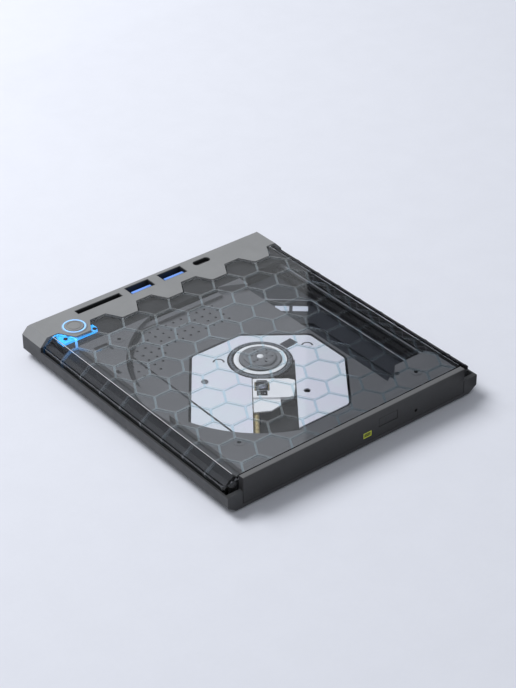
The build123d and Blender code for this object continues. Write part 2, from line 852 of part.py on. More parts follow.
def make_traverse_frame():
    """The cast frame under the plate, open where the pickup travels."""
    high = plate_top - plate_thickness
    inside = disc(spindle_x, spindle_y, recess_radius - 1.0, 0, bar_height)
    outline = (octagon(-0.4) & inside).faces().sort_by(Axis.Z)[0]
    lift = Pos(0, 0, z0 + frame_under - outline.center().Z)
    frame = extrude(lift * outline, high - frame_under, dir=(0, 0, 1))
    side = arm_reach + 0.6
    start = sled_u0 - block_length - 0.8
    frame -= turned(start, plate_u1 + 14, rod_v0 - side, rod_v1 + side, 0, bar_height)
    frame -= disc(spindle_x, spindle_y, turntable_radius + 0.7, 0, bar_height)
    return frame


def make_spindle_motor():
    base = at_spindle * disc(0, 0, motor_radius, frame_bottom, motor_top)
    base -= at_spindle * disc(0, 0, shaft_radius + running_gap, frame_bottom + 1, motor_top + 1)
    foot = turned(-foot_reach, foot_front, -foot_half, foot_half, frame_bottom - 0.2, frame_bottom + 0.6)
    return base + foot


def make_turntable():
    """The motor's cup, its shaft and the raised rim that carries the disc."""
    cup = disc(spindle_x, spindle_y, turntable_radius, turntable_low, turntable_top)
    groove = disc(spindle_x, spindle_y, turntable_radius - 1.7, turntable_top - 0.5, bar_height)
    cup = chamfer(cup.edges().filter_by(GeomType.CIRCLE).group_by(Axis.Z)[-1], 0.4)
    cup -= groove
    cup += disc(spindle_x, spindle_y, shaft_radius, frame_bottom + 1.2, turntable_low)
    return cup


def make_friction_ring():
    low = turntable_top - 0.5
    ring = disc(spindle_x, spindle_y, turntable_radius - 1.8, low, turntable_top - 0.1)
    return ring - disc(spindle_x, spindle_y, hub_flange_radius + 0.1, low - 1, bar_height)


def make_clamp_hub():
    """The flange under the disc and the boss that centres it."""
    low = turntable_top - 0.5
    hub = disc(spindle_x, spindle_y, hub_flange_radius, low, hub_flange_top)
    hub += disc(spindle_x, spindle_y, hub_radius, hub_flange_top, hub_top)
    hub = chamfer(hub.edges().filter_by(GeomType.CIRCLE).group_by(Axis.Z)[-1], 0.4)
    hub -= disc(spindle_x, spindle_y, hub_hole_radius, low + 0.5, bar_height)
    for turn in claw_turns():
        hub -= turn * block(4.1, 8.2, -1.3, 1.3, hub_flange_top, hub_top - 0.35)
    return hub


def claw_turns():
    return [Pos(spindle_x, spindle_y, 0) * Rot(0, 0, 360 / claw_count * i + 30) for i in range(claw_count)]


def make_clamp_claws():
    """Spring claws in the boss, which hold the disc's centre."""
    return [turn * block(4.2, hub_radius + 0.25, -1.15, 1.15, hub_flange_top, hub_top - 0.4)
            for turn in claw_turns()]


def make_guide_rods():
    return [rod(u0, u1, v, rod_height, rod_radius) for u0, u1, v in rod_places()]


def rod_places():
    """Start, end and offset of each guide rod; the right one stops short of the tray's front."""
    start = sled_u0 - block_gap - block_length
    travel = sled_travel + block_gap + block_length
    return [(start, sled_u1 + travel, rod_v0), (start, arm_u1 + travel, rod_v1)]


def make_sled_carriage():
    """The cast carriage that rides on both rods and straddles the lead screw."""
    base = turned(sled_u0, sled_u1, rod_v0 - arm_reach, slot_v1 - 0.8, carriage_bottom, carriage_top)
    base += turned(sled_u0, arm_u1, slot_v1 - 0.8, rod_v1 + arm_reach, carriage_bottom, carriage_top)
    for v in (rod_v0, rod_v1):
        base -= rod(sled_u0 - 5, sled_u1 + 5, v, rod_height, rod_radius + running_gap)
    base -= rod(sled_u0 - 5, sled_u1 + 5, screw_v, rod_height, screw_radius + screw_gap)
    base -= turned(sled_u0 - 5, sled_u1 + 5, screw_v - screw_slot, screw_v + screw_slot, 0, rod_height)
    return base - lens_well(carriage_top - 0.6)


def lens_well(low):
    """The room round the floating lens block."""
    half = lens_holder / 2 + 0.3
    return turned(lens_u - half, lens_u + half, lens_v - half, lens_v + half, low, bar_height)


def make_pickup_cover():
    """The white cover over the carriage, with the window round the lens."""
    low = carriage_top
    outline = [(sled_u0, slot_v0 + slot_gap), (sled_u0, slot_v1 - 3.6), (sled_u0 + 1.2, slot_v1 - 0.6),
               (sled_u0 + 7.0, slot_v1 - 0.6), (sled_u1 - 0.7, slot_v1 - 1.6), (sled_u1, slot_v1 - 4.0),
               (sled_u1, slot_v0 + slot_gap)]
    cover = at_spindle * plate(outline, low, sled_top)
    cover -= lens_well(low - 1)
    cover -= turned(sled_u1 - 4.2, sled_u1 - 1.4, lens_v - 2.4, lens_v + 2.4, sled_top - 0.5, bar_height)
    return cover


def make_laser_flex():
    """The stiffened end of the pickup's flat cable, behind the carriage."""
    low = carriage_top
    end_u = sled_u1 + flex_length
    outline = [(sled_u1, slot_v0 + slot_gap), (sled_u1, flex_v), (sled_u1 + flex_shoulder, flex_v),
               (end_u - flex_taper, flex_v / 2), (end_u, slot_v0 + slot_gap)]
    return at_spindle * plate(outline, low, low + flex_thickness)


def make_lens_holder():
    """The block that floats on four wires and carries the lens."""
    half = lens_holder / 2
    at_lens = at_spindle * Pos(lens_u, lens_v, 0)
    body = at_lens * block(-half, half, -half, half, carriage_top - 0.1, sled_top - 0.2)
    body += at_spindle * disc(lens_u, lens_v, lens_radius + 0.5, sled_top - 0.2, sled_top)
    return body - at_spindle * disc(lens_u, lens_v, lens_radius, carriage_top - 1, bar_height)


def make_objective_lens():
    low = carriage_top + 0.2
    rim = at_spindle * disc(lens_u, lens_v, lens_radius, low, sled_top - 0.1)
    dome_radius = 3.2
    sag = dome_radius - sqrt(dome_radius ** 2 - (lens_radius - 0.3) ** 2)
    dome = at_spindle * Pos(lens_u, lens_v, z0 + sled_top - 0.1 + sag - dome_radius) * Sphere(dome_radius)
    return rim + (dome & at_spindle * disc(lens_u, lens_v, lens_radius, sled_top - 0.3, bar_height))


def make_lead_screw():
    screw = rod(screw_u0, screw_u1, screw_v, rod_height, screw_radius)
    screw += rod(screw_u1, screw_u1 + 2.5, screw_v, rod_height, 0.7)
    return screw


def make_stepper_motor():
    u0 = screw_u1 + 0.4
    body = rod(u0, u0 + stepper_length, screw_v, rod_height, stepper_radius)
    end = u0 + stepper_length + 1
    body &= turned(u0 - 1, end, screw_v - 5, screw_v + 5, frame_bottom + 0.2, carriage_top - 0.1)
    body -= rod(u0 - 1, u0 + 2.6, screw_v, rod_height, 0.7 + running_gap)
    return body


def make_rod_blocks():
    """Blocks on the tray's shield that carry the ends of the rods and the motor."""
    blocks = []
    for u0, u1, v in rod_places():
        for u in (u0, u1 - block_length):
            seat = turned(u, u + block_length, v - 1.8, v + 1.8, tray_bottom, rod_height)
            blocks.append(seat - rod(u - 1, u + block_length + 1, v, rod_height, rod_radius))
    u0 = screw_u1 + 0.4
    end = u0 + stepper_length - 1
    blocks.append(turned(u0 + 1, end, screw_v - 2, screw_v + 2, tray_bottom, frame_bottom + 0.2))
    return blocks


def make_frame_dampers():
    """Rubber bushes between the mechanism's frame and the tray's shield."""
    return [at_spindle * disc(u, v, 2.4, tray_bottom, frame_bottom + 2.2) for u, v in damper_places]


def make_tray_screws():
    screws = []
    for x, y in tray_screw_places():
        screws.append(disc(x, y, 0.95, tray_top - 2.2, tray_top - 0.6))
    return screws


def make_tray_board():
    y = tray_front_y + tray_board_setback
    top = tray_bottom + thin_board
    x0, x1 = eject_x - tray_board_reach, tray_right_x - tray_board_gap
    board = block(x0, x1, y, y + tray_board_depth, tray_bottom, top)
    y = tray_front_y + switch_setback
    half = eject_switch / 2
    return board + block(eject_x - half, eject_x + half, y, y + switch_setback, top, stem_high)


def make_drive_board():
    low = pan_floor + pan_sheet
    x0, x1 = liner_left_x + liner_gap, liner_right_x - liner_gap
    return block(x0, x1, pan_front_y + board_front_gap, drive_board_y, low, low + thin_board)


def make_flat_cable():
    """The flat cable's resting length on the pan's floor, under the tray."""
    low = pan_floor + pan_sheet
    x0 = tray_right_x - cable_side_gap
    x1 = x0 + cable_width
    turn = drive_board_y - cable_width
    strip = block(x0, x1, pan_front_y + cable_front_gap, drive_board_y, low, low + cable_thickness)
    return strip + block(x1, liner_left_x + liner_gap, turn, drive_board_y, low, low + cable_thickness)


def liner_outline(x):
    """The trough's stepped edges, each with its corner cut off at the rear."""
    corner = liner_corner_y - (liner_levels[-1][0] - x) * 1.35
    reach = x - liner_left_x
    return [(x, pan_front_y + 1.5), (liner_right_x, pan_front_y + 1.5), (liner_right_x, liner_rear_y),
            (liner_left_x, liner_rear_y), (liner_left_x, corner + reach * 0.9), (x, corner)]


def make_side_liner():
    low = pan_floor + pan_sheet + 0.95
    y0 = pan_front_y + 1.5
    liner = block(liner_left_x, liner_right_x, y0, liner_rear_y, low, liner_base)
    for x, height in liner_levels:
        liner += plate(liner_outline(x), low, height)
    return liner


def build_nodes():
    guide, guide_screws, ring = make_light_parts()
    rail = sliding_rail()
    ports = {name: make_port(*place) for name, place in
             zip(("card_socket", "usb_a_1", "usb_a_2", "usb_c_socket"), port_places())}
    return {
        "bottom_case": make_bottom_case(),
        "rubber_feet": make_feet(),
        "case_screws": make_case_screws(),
        "top_cover": make_top_cover(),
        "port_bar": make_port_bar(),
        "card_socket": ports["card_socket"],
        "usb_a_sockets": [ports["usb_a_1"], ports["usb_a_2"]],
        "usb_a_tongues": make_usb_a_tongues(),
        "usb_c_socket": ports["usb_c_socket"],
        "usb_c_tongue": make_usb_c_tongue(),
        "hub_board": make_hub_board(),
        "board_chips": make_board_chips(),
        "light_guide": guide,
        "light_guide_screws": guide_screws,
        "light_ring": ring,
        "light_button": make_light_button(),
        "button_switch": make_button_switch(),
        "rear_shield": make_rear_shield(),
        "drive_pan": make_drive_pan(),
        "left_guide": mirrored(fixed_guide(False)),
        "right_guide": fixed_guide(True),
        "left_rail": mirrored(rail),
        "right_rail": rail,
        "drive_board": make_drive_board(),
        "flat_cable": make_flat_cable(),
        "side_liner": make_side_liner(),
        "disc_tray": make_disc_tray(),
        "tray_runner": make_tray_runner(),
        "front_bezel": make_front_bezel(),
        "eject_button": make_eject_button(),
        "indicator_lens": make_indicator_lens(),
        "tray_shield": make_tray_shield(),
        "tray_board": make_tray_board(),
        "tray_screws": make_tray_screws(),
        "traverse_plate": make_traverse_plate(),
        "traverse_frame": make_traverse_frame(),
        "frame_dampers": make_frame_dampers(),
        "rod_blocks": make_rod_blocks(),
        "guide_rods": make_guide_rods(),
        "spindle_motor": make_spindle_motor(),
        "turntable": make_turntable(),
        "friction_ring": make_friction_ring(),
        "clamp_hub": make_clamp_hub(),
        "clamp_claws": make_clamp_claws(),
        "sled_carriage": make_sled_carriage(),
        "pickup_cover": make_pickup_cover(),
        "laser_flex": make_laser_flex(),
        "lens_holder": make_lens_holder(),
        "objective_lens": make_objective_lens(),
        "lead_screw": make_lead_screw(),
        "stepper_motor": make_stepper_motor(),
    }


def main():
    os.makedirs("parts", exist_ok=True)
    for name, shape in build_nodes().items():
        pieces = shape if isinstance(shape, list) else [shape]
        solids = [solid for piece in pieces for solid in piece.solids()]
        export_step(solids[0] if len(solids) == 1 else Compound(children=solids), f"parts/{name}.step")


main()
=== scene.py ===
import math

import bpy
from bpy.props import FloatProperty, FloatVectorProperty, PointerProperty
from mathutils import Euler, Matrix, Quaternion, Vector


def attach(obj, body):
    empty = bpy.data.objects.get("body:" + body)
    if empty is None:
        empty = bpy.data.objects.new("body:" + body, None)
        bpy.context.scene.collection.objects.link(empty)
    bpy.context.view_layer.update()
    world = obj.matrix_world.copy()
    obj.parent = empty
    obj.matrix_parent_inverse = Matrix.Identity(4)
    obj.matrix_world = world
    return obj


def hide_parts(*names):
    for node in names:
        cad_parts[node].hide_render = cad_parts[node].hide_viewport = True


bl_info = {
    "name": "Disc drive finishes",
    "version": (1, 0, 0),
    "blender": (4, 5, 0),
    "location": "3D View > Sidebar > Disc drive",
    "description": "Finishes and fine pieces for an external disc drive under a clear honeycomb cover",
    "category": "Object",
}

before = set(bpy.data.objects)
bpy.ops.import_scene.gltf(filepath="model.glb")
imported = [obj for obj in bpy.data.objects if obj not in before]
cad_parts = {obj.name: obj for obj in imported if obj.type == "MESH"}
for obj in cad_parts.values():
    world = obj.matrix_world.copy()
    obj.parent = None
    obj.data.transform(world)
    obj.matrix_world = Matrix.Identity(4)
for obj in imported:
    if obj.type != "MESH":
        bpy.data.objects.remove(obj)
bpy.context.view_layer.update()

# Places that the CAD part fixes, in metres. Its origin is on the table under the middle of the case.
FOOT = 0.0008
SPINDLE = Vector((0.00164, -0.00806, 0))
SLED_ANGLE = math.radians(-127.7)
BUTTON = Vector((-0.0527, 0.06222, 0))
GUIDE_CENTRE = (-0.0600, 0.0545, 0.0135)
CELL_SIDE = 0.00885
CELL_X = 0.0004
CELL_Y = 0.06222
COVER_FOLD_X = 0.0653
BEZEL_EDGE_Z = (0.01550, 0.01572)
RECESS_FLOOR_Z = 0.0101
LAMP_X = 0.00565
LAMP_Z = 0.0061
LAMP_HALF_WIDTH = 0.00235
LAMP_HALF_HEIGHT = 0.0014

# Sizes of fine pieces, in metres, and the turn of the plate's arcs, in radians.
# The fold bead is a thin pale rod that paints a highlight along the cover's left fold.
HIGHLIGHT_BEAD_RADIUS = 0.00011
HIGHLIGHT_BEAD_LENGTH = 0.1335
ARC_RADIUS = 0.0024
ARC_THICKNESS = 0.0004
ARC_TURN = -0.68

# Distances from a cell's edge between which a rib's colour fades in, in metres.
RIB_FADE = (0.00062, 0.00048)

# Thin dark lines in the recess and a painted shade under its left rim, drawn only by the finishes, in
# metres.
DARK_LINE_X = (-0.0427, -0.0423)
DARK_LINE_HALF_WIDTH = 0.0003
DARK_LINE_MIDDLE_Y = -0.007
DARK_LINE_HALF_LENGTH = 0.0375
FLOOR_BAND = 0.0004
RIM_SHADE = (0.0589, 0.0597)
RIM_SHADE_SHIFT = 0.0016
RIM_FADE_X = (-0.012, -0.034)
RIM_FADE_Y = (-0.030, -0.012)

# The range that a Noise texture's values mostly lie in.
NOISE_SPAN = (0.3, 0.7)

# Places on the drive, in millimetres. Heights are above the case's underside. U runs along the pickup's
# path from the spindle, and V across it.
USB_A_X = (-8.45, 10.9)
USB_C_X = 28.75
TRAY_SCREWS = ((-41.3, 42.4, 11.9), (-47.8, -54.9, 11.9), (46.8, -63.6, 11.9))
PLATE_SCREW = (-28.9, -6.1, 9.2)
GUIDE_SCREWS = ((-61.0, 57.22, 13.05), (-45.6, 55.92, 13.05))
FOLD_END = (-65.2, 61.5, 14.86)
PLATE_PATCH = (20.4, -5.7, 9.24)
PLATE_ARCS = ((-14.3, 2.4, 9.22), (26.0, -12.4, 9.22))
LENS_U = 21.2
LENS_V = 0.3
WELL_U = 27.0
FEED_U = (15.6, 63.6)
FEED_V = -2.7
FEED_HEIGHT = 5.9
FEED_TURNS = 16
LINER_HEIGHTS = (3.2, 5.2, 7.45)
LINER_TOP = ((54.3, -69.5), (54.3, 17.9), (37.2, 33.4))
LINER_BASE = ((43.9, -69.5), (43.9, 4.4), (37.2, 10.8))
LINER_STEP = (((38.4, 26.4), (43.6, 21.8)), ((44.9, 20.8), (50.5, 15.9)))
RAIL_EDGE = ((60.9, -69.5), (60.9, 46.0))
GUIDE_ZIGZAG = [(65.6 if i % 2 else 62.2, -62.0 + 4.0 * i) for i in range(25)]

# Turned profiles, as (radius, height) in millimetres. Heights are above the case's underside.
LIT_RING = ((4.85, 15.2), (4.9, 15.3), (5.15, 15.36), (5.4, 15.3), (5.45, 15.2), (4.85, 15.2))
CUP = ((0, 4.6), (1, 4.6), (1, 7.6), (13.9, 7.6), (14.5, 8.1), (14.5, 9.35), (14.3, 9.62), (13.9, 9.75),
       (13.3, 9.75), (12.85, 9.62), (12.8, 9.25), (0, 9.25))
PAD = ((9.85, 9.27), (9.85, 9.6), (10.1, 9.68), (12.0, 9.68), (12.2, 9.6), (12.2, 9.27), (9.85, 9.27))
SEAL = ((12.25, 9.27), (12.25, 9.5), (12.4, 9.56), (12.65, 9.56), (12.78, 9.5), (12.78, 9.27),
        (12.25, 9.27))
BOSS = ((0, 9.25), (9.7, 9.25), (9.7, 10.25), (9.45, 10.5), (8.2, 10.5), (8.0, 10.42), (7.6, 10.42),
        (7.35, 10.55), (7.35, 11.1), (6.95, 11.42), (6.6, 11.5), (2.4, 11.5), (2.2, 11.3), (1.7, 11.2),
        (1.7, 9.8), (0, 9.8))
HUB_SIDE_SHADE = ((9.7, 9.27), (9.76, 9.27), (9.76, 10.3), (9.7, 10.3), (9.7, 9.27))
SHAFT = ((0, 9.85), (1.55, 9.85), (1.55, 11.3), (1.2, 11.5), (0.5, 11.6), (0, 11.62))

# The hub's two rings of pits: radius of the ring, number of pits and radius of a pit, in millimetres.
PIT_RINGS = ((5.6, 6, 0.5), (3.7, 5, 0.42))
PIT_FLOOR = 11.2

# The photograph's view: angles in degrees, distance and shifts in metres, focal length and the
# picture's longer side in pixels, sensor in millimetres.
VIEW_TURN = -38.78
VIEW_TILT = 33.64
VIEW_ROLL = -0.19
VIEW_DISTANCE = 0.8771
VIEW_SHIFT = (0.005277, 0.012621)
FOCAL_PIXELS = 1897.8
PICTURE_PIXELS = 688.0
SENSOR_WIDTH = 36.0


def at_spindle(u, v, height):
    """A point given in the pickup's own directions, in millimetres above the case's underside."""
    turn = Matrix.Rotation(SLED_ANGLE, 3, "Z")
    return SPINDLE + turn @ Vector((u, v, 0)) * 0.001 + place(0, 0, height)


def place(x, y, height):
    """A point in millimetres, its height above the case's underside."""
    return Vector((x * 0.001, y * 0.001, height * 0.001 + FOOT))


# Modelling helpers


def clear():
    """Leaves edit mode and deselects everything."""
    if bpy.context.object and bpy.context.object.mode != "OBJECT":
        bpy.ops.object.mode_set(mode="OBJECT")
    bpy.ops.object.select_all(action="DESELECT")


def only(piece):
    """Makes the piece the only selected one."""
    clear()
    piece.select_set(True)
    bpy.context.view_layer.objects.active = piece
    return piece


def edit():
    """Starts edit mode with the whole mesh selected."""
    bpy.ops.object.mode_set(mode="EDIT")
    bpy.ops.mesh.select_all(action="SELECT")


def close(threshold):
    """Merges the mesh's doubles, fills its holes, recalculates its normals and ends edit mode."""
    bpy.ops.mesh.select_all(action="SELECT")
    bpy.ops.mesh.remove_doubles(threshold=threshold)
    bpy.ops.mesh.fill_holes(sides=0)
    bpy.ops.mesh.normals_make_consistent(inside=False)
    bpy.ops.object.mode_set(mode="OBJECT")


def settle(piece):
    """Puts the piece's place, turn and size into its mesh."""
    only(piece)
    bpy.ops.object.transform_apply(location=True, rotation=True, scale=True)
    return piece


def modify(piece, kind, **settings):
    """Adds one modifier and applies it."""
    only(piece)
    modifier = piece.modifiers.new(kind.title(), kind)
    for key, value in settings.items():
        setattr(modifier, key, value)
    bpy.ops.object.modifier_apply(modifier=modifier.name)
    return piece


def smooth(piece, angle=30):
    """Smooth shading, but edges sharper than the angle stay sharp."""
    only(piece)
    bpy.ops.object.shade_smooth_by_angle(angle=math.radians(angle))
    return piece


def bevelled(piece, width):
    """Rounds the piece's edges."""
    modify(piece, "BEVEL", width=width, segments=2, limit_method="ANGLE", angle_limit=math.radians(30))
    return smooth(piece, 35)


def box(size, centre, turn=0.0, bevel=0.0):
    """A block, with softened edges if bevel is given."""
    clear()
    bpy.ops.mesh.primitive_cube_add(size=1, location=centre, rotation=(0, 0, turn), scale=size)
    piece = settle(bpy.context.object)
    return bevelled(piece, bevel) if bevel else piece


def lathe(profile, segments):
    """A turned shape about Z from (radius, height) points in metres. Equal ends close it into a ring."""
    clear()
    r0, z0 = profile[0]
    bpy.ops.mesh.primitive_circle_add(vertices=segments, radius=max(r0, 1e-4), location=(0, 0, z0))
    piece = settle(bpy.context.object)
    edit()
    r, z = max(r0, 1e-4), z0
    for r1, z1 in profile[1:]:
        r1 = max(r1, 1e-7)
        bpy.ops.mesh.extrude_region_move(TRANSFORM_OT_translate={"value": (0, 0, z1 - z)})
        bpy.ops.transform.resize(value=(r1 / r, r1 / r, 1), center_override=(0, 0, z1))
        r, z = r1, z1
    close(2e-6)
    return smooth(piece, 35)


def turned(profile, centre=SPINDLE, segments=96):
    """A turned piece about a centre, from (radius, height) in millimetres above the case's underside."""
    return moved(lathe([(r / 1000, z / 1000 + FOOT) for r, z in profile], segments), centre)


def thread(radius, depth, pitch, turns):
    """A threaded rod along Z from the origin: one pitch of its edge, screwed round the axis."""
    clear()
    bpy.ops.mesh.primitive_circle_add(vertices=4, radius=radius)
    piece = bpy.context.object
    edit()
    bpy.ops.mesh.merge(type="CENTER")
    bpy.ops.transform.translate(value=(radius, 0, 0))
    for step_r, step_z in ((0, 0.55), (-depth, 0.12), (0, 0.21), (depth, 0.12)):
        bpy.ops.mesh.extrude_region_move(TRANSFORM_OT_translate={"value": (step_r, 0, step_z * pitch)})
    bpy.ops.object.mode_set(mode="OBJECT")
    modify(piece, "SCREW", screw_offset=pitch, iterations=turns, steps=20, render_steps=20,
           use_merge_vertices=True, merge_threshold=1e-6)
    edit()
    close(1e-6)
    return smooth(piece, 40)


def along_sled(piece, u, v, height):
    """Lays a piece that was made along Z down the pickup's path."""
    way = Vector((math.cos(SLED_ANGLE), math.sin(SLED_ANGLE), 0))
    piece.rotation_mode = "QUATERNION"
    piece.rotation_quaternion = Vector((0, 0, 1)).rotation_difference(way)
    piece.location = at_spindle(u, v, height)
    return settle(piece)


def on_sled(size, u, v, height, bevel=0.0):
    """A block in the pickup's own directions, its size and centre in millimetres."""
    return box(Vector(size) * 0.001, at_spindle(u, v, height), SLED_ANGLE, bevel * 0.001)


def moved(piece, offset):
    """Moves the piece's mesh by offset."""
    piece.location = piece.location + Vector(offset)
    return settle(piece)


def copied(piece, offset):
    """A copy with its own mesh, moved by offset."""
    twin = piece.copy()
    twin.data = piece.data.copy()
    bpy.context.scene.collection.objects.link(twin)
    twin.location = twin.location + Vector(offset)
    return settle(twin)


def joined(pieces):
    """Makes one piece of several."""
    clear()
    for piece in pieces:
        piece.select_set(True)
    bpy.context.view_layer.objects.active = pieces[0]
    if len(pieces) > 1:
        bpy.ops.object.join()
    return bpy.context.object


def carved(piece, cutter):
    """Takes the cutter's shape out of the piece."""
    modify(piece, "BOOLEAN", operation="DIFFERENCE", object=cutter, solver="EXACT")
    bpy.data.objects.remove(cutter)
    return piece


def dress(piece, name, body, material, replaces=()):
    """Names the finished piece, gives it its finish and its body."""
    piece.name = name
    piece.data.name = name
    piece.data.materials.clear()
    piece.data.materials.append(material)
    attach(piece, body)
    if replaces:
        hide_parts(*replaces)
    return piece


def paint(material, *nodes):
    """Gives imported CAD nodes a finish."""
    for name in nodes:
        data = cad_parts[name].data
        data.materials.clear()
        data.materials.append(material)


# Shader groups, shared by the finishes


def group(name, inputs, outputs):
    """An empty shader group with its input and output nodes."""
    tree = bpy.data.node_groups.new(name, "ShaderNodeTree")
    for label, kind, default in inputs:
        socket = tree.interface.new_socket(name=label, in_out="INPUT", socket_type=kind)
        if default is not None:
            socket.default_value = default
    for label in outputs:
        tree.interface.new_socket(name=label, in_out="OUTPUT", socket_type="NodeSocketFloat")
    return tree, tree.nodes.new("NodeGroupInput"), tree.nodes.new("NodeGroupOutput")


def fill(tree, node, values):
    """Sets a node's inputs by name or number; each value is a plain one or a socket to link."""
    for label, value in values.items():
        if isinstance(value, bpy.types.NodeSocket):
            tree.links.new(value, node.inputs[label])
        else:
            node.inputs[label].default_value = value


def sums(tree, operation, *values):
    """A Math node; a value is a number or a socket."""
    node = tree.nodes.new("ShaderNodeMath")
    node.operation = operation
    fill(tree, node, dict(enumerate(values)))
    return node.outputs[0]


def ramp(tree, value, span=NOISE_SPAN, to=(0.0, 1.0)):
    """A smooth Map Range from one span to another."""
    node = tree.nodes.new("ShaderNodeMapRange")
    node.interpolation_type = "SMOOTHSTEP"
    fill(tree, node, {"Value": value, "From Min": span[0], "From Max": span[1], "To Min": to[0],
                      "To Max": to[1]})
    return node.outputs["Result"]


def noise(tree, vector, scale, detail=2.0, roughness=0.5):
    """A Noise texture; its scale is a number or a socket."""
    node = tree.nodes.new("ShaderNodeTexNoise")
    fill(tree, node, {"Vector": vector, "Scale": scale, "Detail": detail, "Roughness": roughness})
    return node.outputs["Fac"]


def apart(tree, value, middle):
    """How far a value is from its middle."""
    return sums(tree, "ABSOLUTE", sums(tree, "SUBTRACT", value, middle))


def within(tree, value, middle, half):
    """1 where a value is less than half from its middle, and 0 elsewhere."""
    return sums(tree, "LESS_THAN", apart(tree, value, middle), half)


VECTOR_INPUT = ("Vector", "NodeSocketVector", None)


def make_grain():
    """Moulded or cast grain: Tone for colour, Gloss for roughness, Height for bump."""
    inputs = [VECTOR_INPUT, ("Scale", "NodeSocketFloat", 2500.0)]
    tree, given, result = group("Grain", inputs, ("Tone", "Gloss", "Height"))
    fine = noise(tree, given.outputs["Vector"], given.outputs["Scale"], 3.0, 0.6)
    broad = noise(tree, given.outputs["Vector"], 60.0, 3.0, 0.55)
    cloud = noise(tree, given.outputs["Vector"], 260.0, 4.0, 0.6)
    tone = sums(tree, "MULTIPLY_ADD", fine, 0.35, sums(tree, "MULTIPLY", broad, 0.65))
    gloss = sums(tree, "MULTIPLY_ADD", cloud, 0.6, sums(tree, "MULTIPLY", broad, 0.4))
    fill(tree, result, {"Tone": tone, "Gloss": gloss, "Height": fine})
    return tree


def make_brushed():
    """Rolled or brushed metal: fine streaks along X."""
    inputs = [VECTOR_INPUT, ("Scale", "NodeSocketFloat", 900.0)]
    tree, given, result = group("Brushed", inputs, ("Tone", "Gloss", "Height"))
    stretch = tree.nodes.new("ShaderNodeVectorMath")
    stretch.operation = "MULTIPLY"
    fill(tree, stretch, {0: given.outputs["Vector"], 1: (0.03, 1.0, 1.0)})
    streaks = noise(tree, stretch.outputs[0], given.outputs["Scale"], 4.0, 0.65)
    smears = noise(tree, given.outputs["Vector"], 90.0, 3.0, 0.6)
    tone = sums(tree, "MULTIPLY_ADD", streaks, 0.5, sums(tree, "MULTIPLY", smears, 0.5))
    fill(tree, result, {"Tone": tone, "Gloss": smears, "Height": streaks})
    return tree


def split(tree, vector):
    """The vector's X, Y and Z."""
    node = tree.nodes.new("ShaderNodeSeparateXYZ")
    tree.links.new(vector, node.inputs[0])
    return node.outputs["X"], node.outputs["Y"], node.outputs["Z"]


def cell_offset(tree, value, period, start):
    """Distance along one axis from the nearest cell centre of one of the two lattices."""
    shifted = sums(tree, "ADD", value, start)
    return apart(tree, sums(tree, "FLOORED_MODULO", shifted, period), period / 2)


def make_lattice():
    """The honeycomb: Rib is 1 on a rib and 0 in a cell. Beyond the folds only the straight ribs go on."""
    tree, given, result = group("Honeycomb", [VECTOR_INPUT], ("Rib",))
    x, y, _ = split(tree, given.outputs["Vector"])
    reach = CELL_SIDE * math.sqrt(3) / 2
    wide, tall = 3 * CELL_SIDE, 2 * reach
    candidates = []
    for shift_x, shift_y in ((0, 0), (wide / 2, tall / 2)):
        ax = cell_offset(tree, x, wide, wide / 2 - CELL_X + shift_x)
        ay = cell_offset(tree, y, tall, tall / 2 - CELL_Y + shift_y)
        slant = sums(tree, "MULTIPLY_ADD", ax, math.sqrt(3) / 2, sums(tree, "MULTIPLY", ay, 0.5))
        candidates.append(sums(tree, "MAXIMUM", slant, ay))
    flat = sums(tree, "MINIMUM", *candidates)
    row = cell_offset(tree, y, tall, tall - CELL_Y)
    beyond = sums(tree, "GREATER_THAN", sums(tree, "ABSOLUTE", x), COVER_FOLD_X)
    mix = tree.nodes.new("ShaderNodeMix")
    fill(tree, mix, {"Factor": beyond, "A": flat, "B": row})
    fill(tree, result, {"Rib": ramp(tree, mix.outputs["Result"], [reach - gap for gap in RIB_FADE])})
    return tree


def make_spill():
    """Light that spills from the light guide: 1 beside it, fading to 0."""
    tree, given, result = group("Spill", [VECTOR_INPUT, ("Reach", "NodeSocketFloat", 0.02)], ("Spill",))
    gap = tree.nodes.new("ShaderNodeVectorMath")
    gap.operation = "DISTANCE"
    fill(tree, gap, {0: given.outputs["Vector"], 1: GUIDE_CENTRE})
    share = sums(tree, "DIVIDE", gap.outputs["Value"], given.outputs["Reach"])
    left = sums(tree, "SUBTRACT", 1.0, sums(tree, "MINIMUM", share, 1.0))
    fill(tree, result, {"Spill": sums(tree, "POWER", left, 2.0)})
    return tree


def make_dark_lines_and_rim_shade():
    """Straight thin dark lines in the recess and the painted shade under its left rim: 1 there and 0 beside
    them.
    """
    tree, given, result = group("DarkLinesAndRimShade", [VECTOR_INPUT, ("Width", "NodeSocketFloat", 0.0003)], ("Line",))
    x, y, z = split(tree, given.outputs["Vector"])
    line = sums(tree, "MAXIMUM", *[within(tree, x, spot, given.outputs["Width"]) for spot in DARK_LINE_X])
    along = within(tree, y, DARK_LINE_MIDDLE_Y, DARK_LINE_HALF_LENGTH)
    floor = within(tree, z, RECESS_FLOOR_Z, FLOOR_BAND)
    line = sums(tree, "MULTIPLY", line, sums(tree, "MULTIPLY", along, floor))
    east = sums(tree, "SUBTRACT", x, SPINDLE.x + RIM_SHADE_SHIFT)
    north = sums(tree, "SUBTRACT", y, SPINDLE.y)
    reach = sums(tree, "SQRT", sums(tree, "MULTIPLY_ADD", east, east, sums(tree, "MULTIPLY", north, north)))
    rim = sums(tree, "MULTIPLY", ramp(tree, reach, RIM_SHADE), ramp(tree, east, RIM_FADE_X))
    rim = sums(tree, "MULTIPLY", rim, sums(tree, "MULTIPLY", floor, ramp(tree, north, RIM_FADE_Y)))
    fill(tree, result, {"Line": sums(tree, "MAXIMUM", line, rim)})
    return tree


